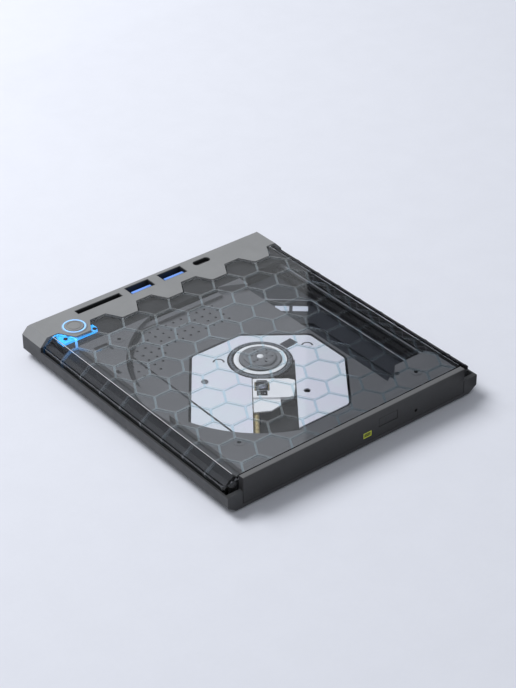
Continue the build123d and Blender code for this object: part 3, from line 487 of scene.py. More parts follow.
MAKERS = {"grain": make_grain, "brushed": make_brushed, "lattice": make_lattice, "spill": make_spill,
          "dark_lines_and_rim_shade": make_dark_lines_and_rim_shade}
GROUPS = {}


def shared(name):
    """The named shader group, made at its first use."""
    if name not in GROUPS:
        GROUPS[name] = MAKERS[name]()
    return GROUPS[name]


# Finishes


def blank(name):
    """A new material, its tree, its shader and its Object coordinates."""
    material = bpy.data.materials.new(name)
    material.use_nodes = True
    tree = material.node_tree
    coordinates = tree.nodes.new("ShaderNodeTexCoord")
    return material, tree, tree.nodes["Principled BSDF"], coordinates.outputs["Object"]


def use(tree, name, vector, **numbers):
    """Places a shared group with its own values."""
    node = tree.nodes.new("ShaderNodeGroup")
    node.node_tree = shared(name)
    fill(tree, node, {"Vector": vector, **numbers})
    return node


def blend(tree, factor, first, second):
    """Mix of two colours; each is a colour or a socket."""
    node = tree.nodes.new("ShaderNodeMix")
    node.data_type = "RGBA"
    ends = [value if isinstance(value, bpy.types.NodeSocket) else tuple(value)[:3] + (1.0,)
            for value in (first, second)]
    fill(tree, node, {"Factor": factor, 6: ends[0], 7: ends[1]})
    return node.outputs[2]


def bump(tree, shader, height, strength, distance):
    """A relief from a height."""
    node = tree.nodes.new("ShaderNodeBump")
    fill(tree, node, {"Strength": strength, "Distance": distance, "Height": height})
    fill(tree, shader, {"Normal": node.outputs["Normal"]})


def shade(colour, factor):
    """The colour, darker or lighter by a factor."""
    return tuple(min(1.0, c * factor) for c in tuple(colour)[:3])


def finish(name, colour, kind="grain", scale=2500.0, spread=0.12, rough=(0.42, 0.56), metal=0.0,
           relief=0.00004, strength=0.35):
    """A finish with its own grain: two shades of a colour, uneven gloss and a fine relief."""
    material, tree, shader, vector = blank(name)
    pattern = use(tree, kind, vector, Scale=scale)
    tone = ramp(tree, pattern.outputs["Tone"])
    mottled = blend(tree, tone, shade(colour, 1 - spread), shade(colour, 1 + spread))
    fill(tree, shader, {"Base Color": mottled, "Roughness": ramp(tree, pattern.outputs["Gloss"], to=rough),
                        "Metallic": metal})
    bump(tree, shader, pattern.outputs["Height"], strength, relief)
    return material


def glowing(name, colour, strength, spread):
    """A lit clear plastic that glows, brighter in some clouds than in others."""
    material, tree, shader, vector = blank(name)
    cloud = noise(tree, vector, 220.0)
    pale = blend(tree, ramp(tree, cloud), colour, shade(colour, spread))
    fill(tree, shader, {"Base Color": pale, "Emission Color": pale, "Emission Strength": strength,
                        "Roughness": ramp(tree, cloud, to=(0.2, 0.35))})
    return material


def smoke_cover(look):
    """Clear smoke plastic whose ribs are paler and, near the light guide, glow with painted light; lamps
    and bounced light pass it.
    """
    material, tree, shader, vector = blank("smoke_cover")
    ribs = use(tree, "lattice", vector)
    grain = use(tree, "grain", vector, Scale=1500.0)
    glow = use(tree, "spill", vector, Reach=look.spill)
    # The ribs near the button glow by emission: painted light from the guide.
    lit = sums(tree, "MULTIPLY", glow.outputs["Spill"], ribs.outputs["Rib"])
    fill(tree, shader, {
        "Base Color": blend(tree, ribs.outputs["Rib"], look.smoke, look.rib),
        "Roughness": ramp(tree, grain.outputs["Gloss"], to=(0.02, 0.05)),
        "Coat Weight": ribs.outputs["Rib"],
        "Coat Roughness": look.rib_haze,
        "Coat IOR": look.rib_shine,
        "Emission Color": blend(tree, lit, (0, 0, 0), look.glow),
        "Emission Strength": look.glow_strength,
        "IOR": 1.46,
        "Transmission Weight": 1.0})
    path = tree.nodes.new("ShaderNodeLightPath")
    through = sums(tree, "MAXIMUM", path.outputs["Is Shadow Ray"], path.outputs["Is Diffuse Ray"])
    clear_way = tree.nodes.new("ShaderNodeBsdfTransparent")
    clear_way.inputs["Color"].default_value = tuple(math.sqrt(c) for c in look.smoke) + (1.0,)
    mix = tree.nodes.new("ShaderNodeMixShader")
    fill(tree, mix, {"Fac": through, 1: shader.outputs[0], 2: clear_way.outputs[0]})
    fill(tree, tree.nodes["Material Output"], {"Surface": mix.outputs[0]})
    return material


def parts_of(material):
    """A finish's tree, its shader, its Object coordinates and what feeds its colour."""
    tree = material.node_tree
    shader = tree.nodes["Principled BSDF"]
    place_node = next(node for node in tree.nodes if node.type == "TEX_COORD")
    return tree, shader, place_node.outputs["Object"], shader.inputs["Base Color"].links[0].from_socket


def painted_top_highlight(material, colour):
    """Gives the bezel's finish a paler shade on its upper face, a painted highlight."""
    tree, shader, vector, first = parts_of(material)
    upper = ramp(tree, split(tree, vector)[2], BEZEL_EDGE_Z)
    fill(tree, shader, {"Base Color": blend(tree, upper, first, colour)})
    return material


def with_dark_lines_and_rim_shade(material):
    """Darkens a finish along thin dark lines in the recess, and under its left rim as painted shade."""
    tree, shader, vector, first = parts_of(material)
    line = use(tree, "dark_lines_and_rim_shade", vector, Width=DARK_LINE_HALF_WIDTH).outputs["Line"]
    fill(tree, shader, {"Base Color": blend(tree, line, first, (0.012, 0.012, 0.015))})
    return material


def framed_lamp(colour):
    """The indicator: a dark window with a lit border."""
    material, tree, shader, vector = blank("lamp_window")
    x, _, z = split(tree, vector)
    across = sums(tree, "SUBTRACT", apart(tree, x, LAMP_X), LAMP_HALF_WIDTH)
    upward = sums(tree, "SUBTRACT", apart(tree, z, LAMP_Z), LAMP_HALF_HEIGHT)
    border = ramp(tree, sums(tree, "MAXIMUM", across, upward), (-0.00055, -0.00035))
    cloud = noise(tree, vector, 900.0)
    body = blend(tree, cloud, shade(colour, 0.25), shade(colour, 0.4))
    fill(tree, shader, {"Base Color": blend(tree, border, body, colour),
                        "Emission Color": blend(tree, border, shade(colour, 0.1), colour),
                        "Roughness": ramp(tree, cloud, to=(0.2, 0.32)), "Emission Strength": 0.25})
    return material


def pale_metal(colour, tint):
    """The pale plate round the spindle: cool white with faint clouds and flecks."""
    material, tree, shader, vector = blank("plate_pale")
    clouds = noise(tree, vector, 70.0, 3.0, 0.6)
    fleck = noise(tree, vector, 900.0, 3.0, 0.7)
    base = blend(tree, ramp(tree, clouds, (0.35, 0.65)), colour, tint)
    flecked = blend(tree, ramp(tree, fleck, (0.55, 0.75), (0.0, 0.35)), base, shade(colour, 0.82))
    fill(tree, shader, {"Base Color": flecked, "Roughness": ramp(tree, fleck, to=(0.3, 0.42)),
                        "Metallic": 0.15})
    bump(tree, shader, fleck, 0.1, 0.00003)
    return material


# Colours and sizes that a user would change


def colour_of(label, note, value):
    return FloatVectorProperty(name=label, description=note, subtype="COLOR", size=3, min=0, max=1,
                               default=value)


def length_of(label, note, value):
    return FloatProperty(name=label, description=note, subtype="DISTANCE", unit="LENGTH", default=value)


def number_of(label, note, value):
    return FloatProperty(name=label, description=note, min=0, default=value)


class CaseLook(bpy.types.PropertyGroup):
    case: colour_of("Case", "Moulded case, feet apart", (0.042, 0.043, 0.045))
    bar: colour_of("Port bar", "Painted bar along the rear", (0.235, 0.240, 0.246))
    bezel: colour_of("Front bezel", "The tray's front", (0.030, 0.030, 0.031))
    # The bezel top colour paints a highlight on the bezel's upper face.
    top: colour_of("Bezel top", "The bezel's worn upper edge", (0.135, 0.137, 0.142))
    rubber: colour_of("Feet", "Rubber feet", (0.015, 0.015, 0.016))
    steel: colour_of("Port shells", "Sheet metal of the sockets", (0.05, 0.052, 0.056))
    usb: colour_of("Port tongues", "Blue plastic inside the wide ports", (0.16, 0.33, 0.85))
    gold: colour_of("Contacts", "Gilded contacts in the ports", (0.83, 0.56, 0.16))


class CoverLook(bpy.types.PropertyGroup):
    smoke: colour_of("Smoke", "Tint of the clear cover", (0.85, 0.865, 0.89))
    rib: colour_of("Ribs", "Tint of the cover's ribs", (0.66, 0.84, 0.94))
    # The fold colour paints a highlight along the cover's left fold.
    highlight_bead: colour_of("Fold", "Pale line along the cover's left fold", (0.75, 0.78, 0.82))
    rib_haze: number_of("Rib haze", "Roughness of the ribs' faces", 0.18)
    rib_shine: number_of("Rib shine", "How strongly the ribs catch light", 2.15)
    glow: colour_of("Glow", "Light from the guide under the button", (0.015, 0.36, 1.0))
    glow_strength: number_of("Glow strength", "Brightness of the lit pieces", 1.1)
    spill: length_of("Spill", "How far the ribs near the button catch the light", 0.016)


class DriveLook(bpy.types.PropertyGroup):
    tray: colour_of("Tray", "Moulded disc tray", (0.142, 0.144, 0.151))
    plate: colour_of("Plate", "Pale plate round the spindle", (0.90, 0.95, 1.0))
    plate_tint: colour_of("Plate clouds", "Faint second shade of the plate", (0.92, 0.91, 1.0))
    hub: colour_of("Hub", "Centring hub", (0.20, 0.205, 0.215))
    rim: colour_of("Rim", "Turntable rim", (0.36, 0.37, 0.39))
    white: colour_of("White parts", "Friction ring and pickup cover", (0.95, 0.96, 0.98))
    steel: colour_of("Steel", "Motors, rods and rails", (0.55, 0.56, 0.58))
    feed: colour_of("Feed screw", "Gilded feed screw and the lens's wires", (0.95, 0.74, 0.36))
    black: colour_of("Black parts", "Frame, carriage and runners", (0.012, 0.012, 0.013))
    liner: colour_of("Liner", "Trough beside the tray", (0.030, 0.033, 0.040))
    pan: colour_of("Pan", "Steel pan and shields", (0.03, 0.03, 0.032))
    board: colour_of("Boards", "Circuit boards", (0.012, 0.09, 0.045))
    lamp: colour_of("Lamp", "Indicator window", (0.45, 0.50, 0.05))


class ScrewSizes(bpy.types.PropertyGroup):
    head_radius: length_of("Head radius", "Radius of a small screw's head", 0.0016)
    head_height: length_of("Head height", "Height of a small screw's head", 0.0006)
    slot_width: length_of("Recess width", "Width of the cross recess", 0.0004)
    thread_pitch: length_of("Feed pitch", "Pitch of the feed screw's thread", 0.003)
    thread_depth: length_of("Feed depth", "Depth of the feed screw's thread", 0.0003)


class StageLook(bpy.types.PropertyGroup):
    floor: colour_of("Floor", "Plain pale floor", (0.70, 0.72, 0.79))
    sky: colour_of("Surround", "Soft light from all round", (0.93, 0.96, 1.0))
    sky_strength: number_of("Surround light", "Strength of the surround", 0.38)
    mirror_strength: number_of("Mirrored surround", "Strength of the surround in reflections", 0.6)
    key_power: number_of("Key light", "Watts of the large lamp behind", 24.0)
    fill_power: number_of("Fill light", "Watts of the lamp at the left", 1.5)


# Operators, one for each piece or group of like pieces


class DRIVE_OT_case(bpy.types.Operator):
    """Moulded case, bezel, eject button and rubber feet"""

    bl_idname = "drive.case"
    bl_label = "Case and bezel"

    def execute(self, context):
        look = context.scene.drive_case
        case = finish("case_grain", look.case, scale=2200, spread=0.14, rough=(0.40, 0.55), strength=0.1)
        bezel = finish("bezel_grain", look.bezel, scale=2600, spread=0.14, rough=(0.38, 0.5))
        button = finish("button_grain", look.bezel, scale=3200, spread=0.1, rough=(0.34, 0.45))
        rubber = finish("foot_rubber", look.rubber, scale=1800, spread=0.2, rough=(0.7, 0.85))
        paint(case, "bottom_case")
        # The bezel's upper face gets a painted highlight.
        paint(painted_top_highlight(bezel, look.top), "front_bezel")
        paint(button, "eject_button")
        paint(rubber, "rubber_feet", "frame_dampers")
        return {"FINISHED"}


class DRIVE_OT_bar(bpy.types.Operator):
    """Port bar, its sockets and their contacts"""

    bl_idname = "drive.bar"
    bl_label = "Port bar and sockets"

    def contacts(self, x, y, count, pitch, width):
        """A row of spring contacts on a tongue's face, in millimetres."""
        size = Vector((width, 0.12, 4.6)) * 0.001
        first = box(size, place(x - pitch * (count - 1) / 2, y, 10.9), bevel=0.00004)
        return joined([first] + [copied(first, (i * pitch * 0.001, 0, 0)) for i in range(1, count)])

    def execute(self, context):
        look = context.scene.drive_case
        paint(finish("bar_paint", look.bar, scale=3000, spread=0.06, rough=(0.36, 0.48)), "port_bar")
        paint(finish("socket_steel", look.steel, "brushed", 1500, 0.15, (0.45, 0.6), 0.6),
              "card_socket", "usb_a_sockets", "usb_c_socket")
        blue = finish("tongue_blue", look.usb, scale=2500, spread=0.08, rough=(0.3, 0.42))
        black = finish("tongue_black", (0.012, 0.012, 0.013), scale=2500, spread=0.2, rough=(0.35, 0.5))
        gold = finish("contact_gold", look.gold, "brushed", 2500, 0.1, (0.2, 0.3), 1.0)
        tongues = [box((0.0112, 0.0019, 0.008), place(x, 70.05, 10.2), bevel=0.00015) for x in USB_A_X]
        dress(joined(tongues), "port_tongues", "housing", blue, ("usb_a_tongues",))
        paint(black, "usb_c_tongue")
        rows = [self.contacts(x, 69.15, 5, 1.8, 0.7) for x in USB_A_X]
        rows.append(self.contacts(USB_C_X, 71.0, 12, 0.5, 0.25))
        dress(joined(rows), "port_contacts", "housing", gold)
        return {"FINISHED"}


class DRIVE_OT_cover(bpy.types.Operator):
    """Clear honeycomb cover and a pale rod along its left fold that paints a highlight"""

    bl_idname = "drive.cover"
    bl_label = "Clear cover"

    def execute(self, context):
        look = context.scene.drive_cover
        paint(smoke_cover(look), "top_cover")
        # A thin pale rod along the left fold: a painted highlight.
        highlight_bead = lathe([(HIGHLIGHT_BEAD_RADIUS, 0), (HIGHLIGHT_BEAD_RADIUS, HIGHLIGHT_BEAD_LENGTH)], 8)
        highlight_bead.rotation_euler = (math.pi / 2, 0, 0)
        highlight_bead.location = place(*FOLD_END)
        pale = finish("highlight_bead_pale", look.highlight_bead, scale=3000, spread=0.08)
        dress(settle(highlight_bead), "fold_highlight_bead", "housing", pale)
        return {"FINISHED"}


class DRIVE_OT_light(bpy.types.Operator):
    """Light guide, lit ring and round button"""

    bl_idname = "drive.light"
    bl_label = "Light button"

    def execute(self, context):
        look = context.scene.drive_cover
        paint(glowing("guide_lit", look.glow, look.glow_strength, 1.3), "light_guide")
        clear_ring = finish("ring_clear", (0.30, 0.36, 0.46), scale=2500, spread=0.08, rough=(0.2, 0.3))
        paint(clear_ring, "light_ring")
        lit = glowing("ring_lit", (0.22, 0.48, 1.0), look.glow_strength * 0.7, 1.2)
        dress(turned(LIT_RING, BUTTON), "ring_glow", "housing", lit)
        bar = context.scene.drive_case.bar
        paint(finish("button_cap", bar, scale=3200, spread=0.08, rough=(0.3, 0.42)), "light_button")
        steel = context.scene.drive_drive.steel
        paint(finish("switch_steel", steel, "brushed", 1500, 0.12, (0.3, 0.45), 1.0), "button_switch")
        return {"FINISHED"}


class DRIVE_OT_tray(bpy.types.Operator):
    """Disc tray, its runner and the pale plate"""

    bl_idname = "drive.tray"
    bl_label = "Tray and plate"

    def execute(self, context):
        look = context.scene.drive_drive
        tray = finish("tray_grain", look.tray, scale=2400, spread=0.07, rough=(0.42, 0.55))
        # The tray and the plate get the thin dark lines and the painted shade under the recess's left rim.
        paint(with_dark_lines_and_rim_shade(tray), "disc_tray")
        paint(with_dark_lines_and_rim_shade(pale_metal(look.plate, look.plate_tint)), "traverse_plate")
        self.marks()
        paint(finish("runner_black", look.black, scale=2400, spread=0.25, rough=(0.4, 0.55)),
              "tray_runner", "traverse_frame", "rod_blocks")
        paint(framed_lamp(look.lamp), "indicator_lens")
        return {"FINISHED"}

    def marks(self):
        """The plate's dark patch and its two embossed arcs."""
        dark = finish("patch_dark", (0.05, 0.05, 0.06), scale=1500, spread=0.2, rough=(0.4, 0.55))
        patch = box((0.007, 0.005, 0.0001), place(*PLATE_PATCH), math.radians(6), 0.00003)
        dress(patch, "plate_patch", "tray", dark)
        dress(joined([self.arc(spot) for spot in PLATE_ARCS]), "plate_arcs", "tray", dark)

    def arc(self, spot):
        """A flat half ring on the plate, its back towards the rear right."""
        clear()
        bpy.ops.mesh.primitive_torus_add(major_radius=ARC_RADIUS, minor_radius=ARC_THICKNESS,
                                         major_segments=32, minor_segments=8)
        piece = bpy.context.object
        edit()
        bpy.ops.mesh.bisect(plane_co=(0, 0, 0), plane_no=(0, 1, 0), clear_inner=True, use_fill=True)
        bpy.ops.object.mode_set(mode="OBJECT")
        piece.scale = (1, 1, 0.3)
        piece.rotation_euler[2] = ARC_TURN
        piece.location = place(*spot)
        return smooth(settle(piece))


class DRIVE_OT_pan(bpy.types.Operator):
    """Pan, rails, guides, liner and boards"""

    bl_idname = "drive.pan"
    bl_label = "Pan, rails and boards"

    def execute(self, context):
        look = context.scene.drive_drive
        black = look.black
        pan = finish("pan_steel", look.pan, "brushed", 700, 0.16, (0.4, 0.55), 0.3)
        shield = finish("shield_grey", shade(look.pan, 0.8), "brushed", 500, 0.12, (0.45, 0.6), 0.3)
        rail = finish("rail_steel", shade(look.steel, 0.35), "brushed", 1200, 0.1, (0.28, 0.42), 1.0)
        guide = finish("guide_black", black, scale=2200, spread=0.3, rough=(0.35, 0.5))
        paint(pan, "drive_pan", "tray_shield")
        paint(shield, "rear_shield")
        paint(rail, "left_rail", "right_rail")
        paint(guide, "left_guide", "right_guide")
        paint(finish("liner_dark", look.liner, scale=1600, spread=0.2, rough=(0.35, 0.5)), "side_liner")
        paint(finish("board_green", look.board, scale=900, spread=0.2, rough=(0.3, 0.42)),
              "hub_board", "drive_board", "tray_board")
        paint(finish("chip_black", black, scale=3000, spread=0.3, rough=(0.5, 0.65)), "board_chips")
        paint(finish("cable_tan", (0.55, 0.40, 0.22), "brushed", 900, 0.15, (0.35, 0.5)), "flat_cable")
        self.trim()
        return {"FINISHED"}

    def strip(self, start, end, height, width):
        """A slim raised strip between two points in millimetres, on a face at the height."""
        (x0, y0), (x1, y1) = start, end
        size = (math.hypot(x1 - x0, y1 - y0) * 0.001, width * 0.001, 0.00012)
        turn = math.atan2(y1 - y0, x1 - x0)
        return box(size, place((x0 + x1) / 2, (y0 + y1) / 2, height + 0.05), turn, 0.00003)

    def strips(self, points, height, width):
        """Strips from each point to the next."""
        return [self.strip(start, end, height, width) for start, end in zip(points, points[1:])]

    def trim(self):
        """The painted highlights on the liner's edges and the right rail's edge, the liner's black lines
        and pale patch, and the ribs on the right guide.
        """
        base, step, top = LINER_HEIGHTS
        # Pale strips on the liner's top edges and on the right rail's edge are painted highlights.
        grey = finish("edge_highlight_grey", (0.30, 0.31, 0.33), scale=1500, spread=0.1)
        dress(joined(self.strips(LINER_TOP, top, 0.6)), "liner_edge_highlights", "housing", grey)
        dress(self.strip(*RAIL_EDGE, 10.6, 0.45), "rail_edge_highlight", "right_rail", grey)
        black = finish("line_black", (0.006, 0.006, 0.007), scale=1500)
        dress(joined(self.strips(LINER_BASE, base, 0.9)), "liner_lines", "housing", black)
        patch = [self.strip(*ends, step, 4.4) for ends in LINER_STEP]
        pale = finish("patch_pale", (0.72, 0.76, 0.86), scale=1500, spread=0.05)
        dress(joined(patch), "liner_patch", "housing", pale)
        dark = finish("rib_grey", (0.10, 0.10, 0.11), scale=1500)
        dress(joined(self.strips(GUIDE_ZIGZAG, 11.0, 0.3)), "guide_ribs", "housing", dark)


class DRIVE_OT_spindle(bpy.types.Operator):
    """Spindle motor, turntable, friction ring and hub"""

    bl_idname = "drive.spindle"
    bl_label = "Spindle"

    def pins(self, depth):
        """Short pins in the hub's top, at its pits."""
        pins = []
        for ring, count, size in PIT_RINGS:
            for i in range(count):
                turn = math.tau * i / count + ring
                spot = SPINDLE + Vector((math.cos(turn), math.sin(turn), 0)) * ring * 0.001
                pin = lathe([(size / 1000, 0), (size / 1000, depth), (0, depth)], 12)
                pins.append(moved(pin, spot + place(0, 0, PIT_FLOOR)))
        return pins

    def execute(self, context):
        look = context.scene.drive_drive
        rim = finish("rim_metal", look.rim, "brushed", 1500, 0.08, (0.2, 0.32), 1.0)
        hub = finish("hub_plastic", look.hub, scale=1500, spread=0.12, rough=(0.36, 0.48))
        white = finish("ring_white_and_tip_highlight", look.white, scale=1500, spread=0.04, rough=(0.45, 0.6))
        black = finish("seal_and_hub_shade_black", look.black, scale=1500, spread=0.3, rough=(0.5, 0.65))
        motor = finish("motor_steel", look.steel, "brushed", 900, 0.12, (0.3, 0.45), 1.0)
        dress(turned(CUP), "turntable_cup", "turntable", rim, ("turntable",))
        dress(turned(PAD), "friction_pad", "turntable", white, ("friction_ring",))
        dress(turned(SEAL), "pad_seal", "turntable", black)
        boss = carved(turned(BOSS), joined(self.pins(0.0006)))
        dress(boss, "hub_boss", "turntable", hub, ("clamp_hub",))
        # Black pins in the hub's pits and a black band round the boss's side are painted shade.
        shades = self.pins(0.0003) + [turned(HUB_SIDE_SHADE)]
        dress(joined(shades), "hub_shade", "turntable", black)
        # The shaft's steel tip is white: a painted highlight.
        dress(turned(SHAFT, segments=32), "shaft_tip", "turntable", white)
        paint(hub, "clamp_claws")
        paint(motor, "spindle_motor", "stepper_motor", "guide_rods")
        return {"FINISHED"}


class DRIVE_OT_pickup(bpy.types.Operator):
    """Pickup, lens and feed screw"""

    bl_idname = "drive.pickup"
    bl_label = "Pickup"

    def execute(self, context):
        look = context.scene.drive_drive
        paint(finish("carriage_cast", look.black, scale=1800, spread=0.3, rough=(0.4, 0.55)),
              "sled_carriage", "lens_holder")
        paint(finish("pickup_white", look.white, scale=1800, spread=0.05, rough=(0.35, 0.5)),
              "pickup_cover", "laser_flex")
        paint(self.lens_clear(), "objective_lens")
        gold = finish("feed_gold", look.feed, "brushed", 2500, 0.1, (0.3, 0.4), 0.4)
        black = finish("magnet_black", look.black, "brushed", 1500, 0.3, (0.3, 0.45), 0.5)
        steel = finish("yoke_steel", look.steel, "brushed", 1500, 0.1, (0.25, 0.4), 1.0)
        sizes = context.scene.drive_screws
        worm = thread(0.0015, sizes.thread_depth, sizes.thread_pitch, FEED_TURNS)
        tail = lathe([(0.0015, 0), (0.0015, 0.0008), (0.0013, 0.0009), (0.0007, 0.0009), (0.0007, 0.0033),
                      (0.0005, 0.0035), (0, 0.0035)], 24)
        feed = [along_sled(piece, u, FEED_V, FEED_HEIGHT) for piece, u in zip((worm, tail), FEED_U)]
        dress(joined(feed), "feed_screw", "lead_screw", gold, ("lead_screw",))
        magnets = [on_sled((1.2, 4.6, 1.3), LENS_U + side * 4.1, LENS_V, 8.75, 0.12) for side in (-1, 1)]
        magnets.append(on_sled((3.0, 4.8, 0.5), WELL_U, LENS_V, 9.05, 0.1))
        dress(joined(magnets), "lens_magnets", "sled", black)
        yokes = [on_sled((0.5, 5.4, 1.5), LENS_U + side * 3.45, LENS_V, 8.75, 0.08) for side in (-1, 1)]
        yokes += [on_sled((0.9, 0.9, 0.35), WELL_U, v, 9.42, 0.1) for v in (-0.9, 1.5)]
        dress(joined(yokes), "lens_yokes", "sled", steel)
        wires = [on_sled((6.4, 0.12, 0.12), LENS_U, LENS_V + side * 3.0, 9.15 + rise)
                 for side in (-1, 1) for rise in (0, -0.5)]
        dress(joined(wires), "lens_wires", "sled", gold)
        return {"FINISHED"}

    def lens_clear(self):
        """Clear glass with a faint coating in blue and rose."""
        material, tree, shader, vector = blank("lens_clear")
        cloud = noise(tree, vector, 900.0)
        fill(tree, shader, {"Base Color": blend(tree, cloud, (0.75, 0.85, 1.0), (0.9, 0.8, 1.0)),
                            "Roughness": ramp(tree, cloud, to=(0.02, 0.06)),
                            "Transmission Weight": 0.85, "IOR": 1.5})
        return material


class DRIVE_OT_screws(bpy.types.Operator):
    """Small screws with cross recesses"""

    bl_idname = "drive.screws"
    bl_label = "Screws"

    def head(self, sizes, radius):
        """A pan head with a cross cut in it, on the origin."""
        h = sizes.head_height
        shape = ((0.9, 0), (1, 0.2), (1, 0.55), (0.82, 0.88), (0.4, 1), (0, 1))
        head = lathe([(radius * r, h * z) for r, z in shape], 32)
        for turn in (0, math.pi / 2):
            carved(head, box((radius * 1.15, sizes.slot_width, h), (0, 0, h * 0.85), turn))
        return smooth(head, 35)

    def execute(self, context):
        sizes = context.scene.drive_screws
        black = finish("screw_black", (0.02, 0.02, 0.022), "brushed", 2500, 0.2, (0.25, 0.4), 0.9)
        small = self.head(sizes, sizes.head_radius)
        tray = [copied(small, place(*spot)) for spot in TRAY_SCREWS]
        dress(joined(tray), "tray_screw_heads", "tray", black, ("tray_screws",))
        plate = copied(small, place(*PLATE_SCREW))
        pale = finish("screw_pale", (0.35, 0.36, 0.38), "brushed", 2500, 0.15, (0.25, 0.4), 0.9)
        dress(plate, "plate_screw", "tray", pale)
        tiny = self.head(sizes, 0.00105)
        guide = [copied(tiny, place(*spot)) for spot in GUIDE_SCREWS]
        dress(joined(guide), "guide_screw_heads", "housing", black, ("light_guide_screws",))
        paint(black, "case_screws")
        for piece in (small, tiny):
            bpy.data.objects.remove(piece)
        return {"FINISHED"}


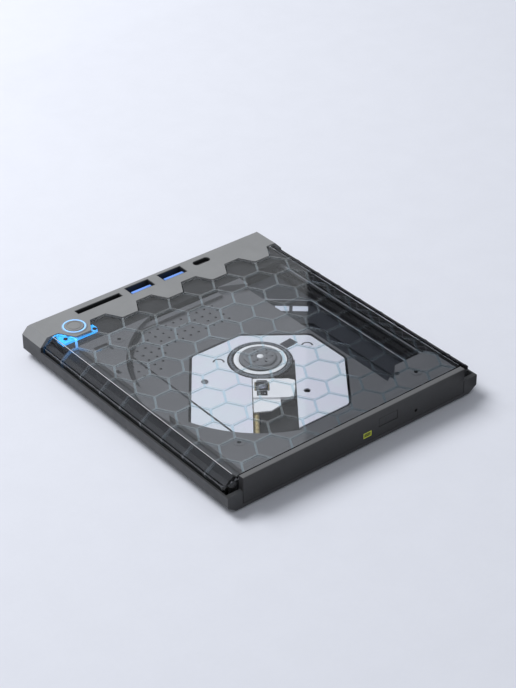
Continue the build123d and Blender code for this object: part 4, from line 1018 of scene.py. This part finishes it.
class DRIVE_OT_stage(bpy.types.Operator):
    """Floor, lamps and camera"""

    bl_idname = "drive.stage"
    bl_label = "Stage"

    def lamp(self, name, spot, size, power):
        """A lamp that looks at the origin and that mirrors don't show."""
        clear()
        bpy.ops.object.light_add(type="AREA", location=spot)
        lamp = bpy.context.object
        lamp.name = name
        lamp.data.shape = "RECTANGLE"
        lamp.data.size, lamp.data.size_y = size
        lamp.data.energy = power
        lamp.rotation_mode = "QUATERNION"
        lamp.rotation_quaternion = (-Vector(spot)).to_track_quat("-Z", "Y")
        lamp.visible_glossy = lamp.visible_transmission = False

    def execute(self, context):
        look = context.scene.drive_stage
        scene = context.scene
        scene.view_settings.view_transform = "Standard"
        clear()
        bpy.ops.mesh.primitive_plane_add(size=8, location=(0, 0, -0.0001))
        floor = settle(bpy.context.object)
        floor.name = "floor"
        paper = finish("floor_paper", look.floor, scale=400, spread=0.01, rough=(0.55, 0.65),
                       relief=0.00002, strength=0.1)
        paper.node_tree.nodes["Principled BSDF"].inputs["Specular IOR Level"].default_value = 0.1
        floor.data.materials.append(paper)
        self.surround(scene, look)
        self.lamp("key_lamp", (-0.35, 0.95, 1.15), (1.0, 0.8), look.key_power)
        self.lamp("fill_lamp", (-0.9, -0.6, 1.2), (0.9, 0.9), look.fill_power)
        self.dark_sheets()
        self.camera(scene)
        return {"FINISHED"}

    def surround(self, scene, look):
        """Soft light from all round, with its own strength for the camera, for mirrors and for the rest."""
        world = bpy.data.worlds.new("surround") if scene.world is None else scene.world
        scene.world = world
        world.use_nodes = True
        tree = world.node_tree
        path = tree.nodes.new("ShaderNodeLightPath")
        mirror = sums(tree, "MAXIMUM", path.outputs["Is Glossy Ray"], path.outputs["Is Transmission Ray"])
        strength = sums(tree, "MULTIPLY_ADD", path.outputs["Is Camera Ray"], 1.0 - look.sky_strength,
                        look.sky_strength)
        strength = sums(tree, "MULTIPLY_ADD", mirror, look.mirror_strength - look.sky_strength, strength)
        fill(tree, tree.nodes["Background"], {"Color": tuple(look.sky) + (1.0,), "Strength": strength})

    def dark_sheets(self):
        """Sheets that only mirrors show: a dark board behind the right end, a painted shadow on the floor
        there, and a grey screen high behind.
        """
        black = finish("board_and_shadow_black", (0.03, 0.03, 0.035), scale=300, spread=0.1)
        grey = finish("screen_cloth", (0.45, 0.45, 0.46), scale=300, spread=0.1)
        upright = Euler((math.pi / 2, 0, math.radians(VIEW_TURN))).to_quaternion()
        high = Vector((-0.36, 0.78, 0.83))
        for name, spot, turn, size, cloth in (
                ("dark_board", (0.665, 0.12, 0.31), upright, (0.8, 0.6, 1), black),
                # The dark floor sheet is a painted shadow that only mirrors show.
                ("painted_floor_shadow", (0.244, 0.05, 0.0005), Quaternion(), (0.342, 0.6, 1), black),
                ("dark_screen", high, (-high).to_track_quat("-Z", "Y"), (0.9, 0.7, 1), grey)):
            clear()
            bpy.ops.mesh.primitive_plane_add(size=1, location=spot)
            sheet = bpy.context.object
            sheet.name = name
            sheet.scale = size
            sheet.rotation_mode = "QUATERNION"
            sheet.rotation_quaternion = turn
            settle(sheet)
            sheet.data.materials.append(cloth)
            sheet.visible_camera = sheet.visible_diffuse = sheet.visible_shadow = False

    def camera(self, scene):
        """The photograph's view, found from the case's own edges."""
        turn, tilt, roll = (math.radians(angle) for angle in (VIEW_TURN, VIEW_TILT, VIEW_ROLL))
        shift_x, shift_y = VIEW_SHIFT
        back = Vector((math.sin(turn) * math.cos(tilt), -math.cos(turn) * math.cos(tilt), math.sin(tilt)))
        right = Vector((math.cos(turn), math.sin(turn), 0))
        up = back.cross(right)
        across = right * math.cos(roll) + up * math.sin(roll)
        above = up * math.cos(roll) - right * math.sin(roll)
        data = bpy.data.cameras.new("camera")
        camera = bpy.data.objects.new("camera", data)
        scene.collection.objects.link(camera)
        spot = back * VIEW_DISTANCE + across * shift_x + above * shift_y
        camera.location = spot + Vector((0, 0, FOOT))
        camera.rotation_mode = "QUATERNION"
        camera.rotation_quaternion = Matrix((across, above, back)).transposed().to_quaternion()
        data.sensor_width = SENSOR_WIDTH
        data.lens = FOCAL_PIXELS * SENSOR_WIDTH / PICTURE_PIXELS
        data.clip_start, data.clip_end = 0.05, 20.0
        scene.camera = camera


OPERATORS = (DRIVE_OT_case, DRIVE_OT_bar, DRIVE_OT_cover, DRIVE_OT_light, DRIVE_OT_tray, DRIVE_OT_pan,
             DRIVE_OT_spindle, DRIVE_OT_pickup, DRIVE_OT_screws, DRIVE_OT_stage)
LOOKS = {"drive_case": CaseLook, "drive_cover": CoverLook, "drive_drive": DriveLook,
         "drive_screws": ScrewSizes, "drive_stage": StageLook}


class DRIVE_PT_panel(bpy.types.Panel):
    """Lists the drive's pieces and their settings"""

    bl_idname = "DRIVE_PT_panel"
    bl_label = "Disc drive"
    bl_space_type = "VIEW_3D"
    bl_region_type = "UI"
    bl_category = "Disc drive"

    def draw(self, context):
        for operator in OPERATORS:
            self.layout.operator(operator.bl_idname)
        for label, kind in LOOKS.items():
            settings = getattr(context.scene, label)
            column = self.layout.column(align=True)
            for prop in kind.__annotations__:
                column.prop(settings, prop)


CLASSES = tuple(LOOKS.values()) + OPERATORS + (DRIVE_PT_panel,)


def register():
    for item in CLASSES:
        bpy.utils.register_class(item)
    for label, kind in LOOKS.items():
        setattr(bpy.types.Scene, label, PointerProperty(type=kind))


def unregister():
    for label in LOOKS:
        delattr(bpy.types.Scene, label)
    for item in reversed(CLASSES):
        bpy.utils.unregister_class(item)


def main():
    register()
    for operator in OPERATORS:
        area, name = operator.bl_idname.split(".")
        getattr(getattr(bpy.ops, area), name)()


if __name__ == "__main__":
    main()
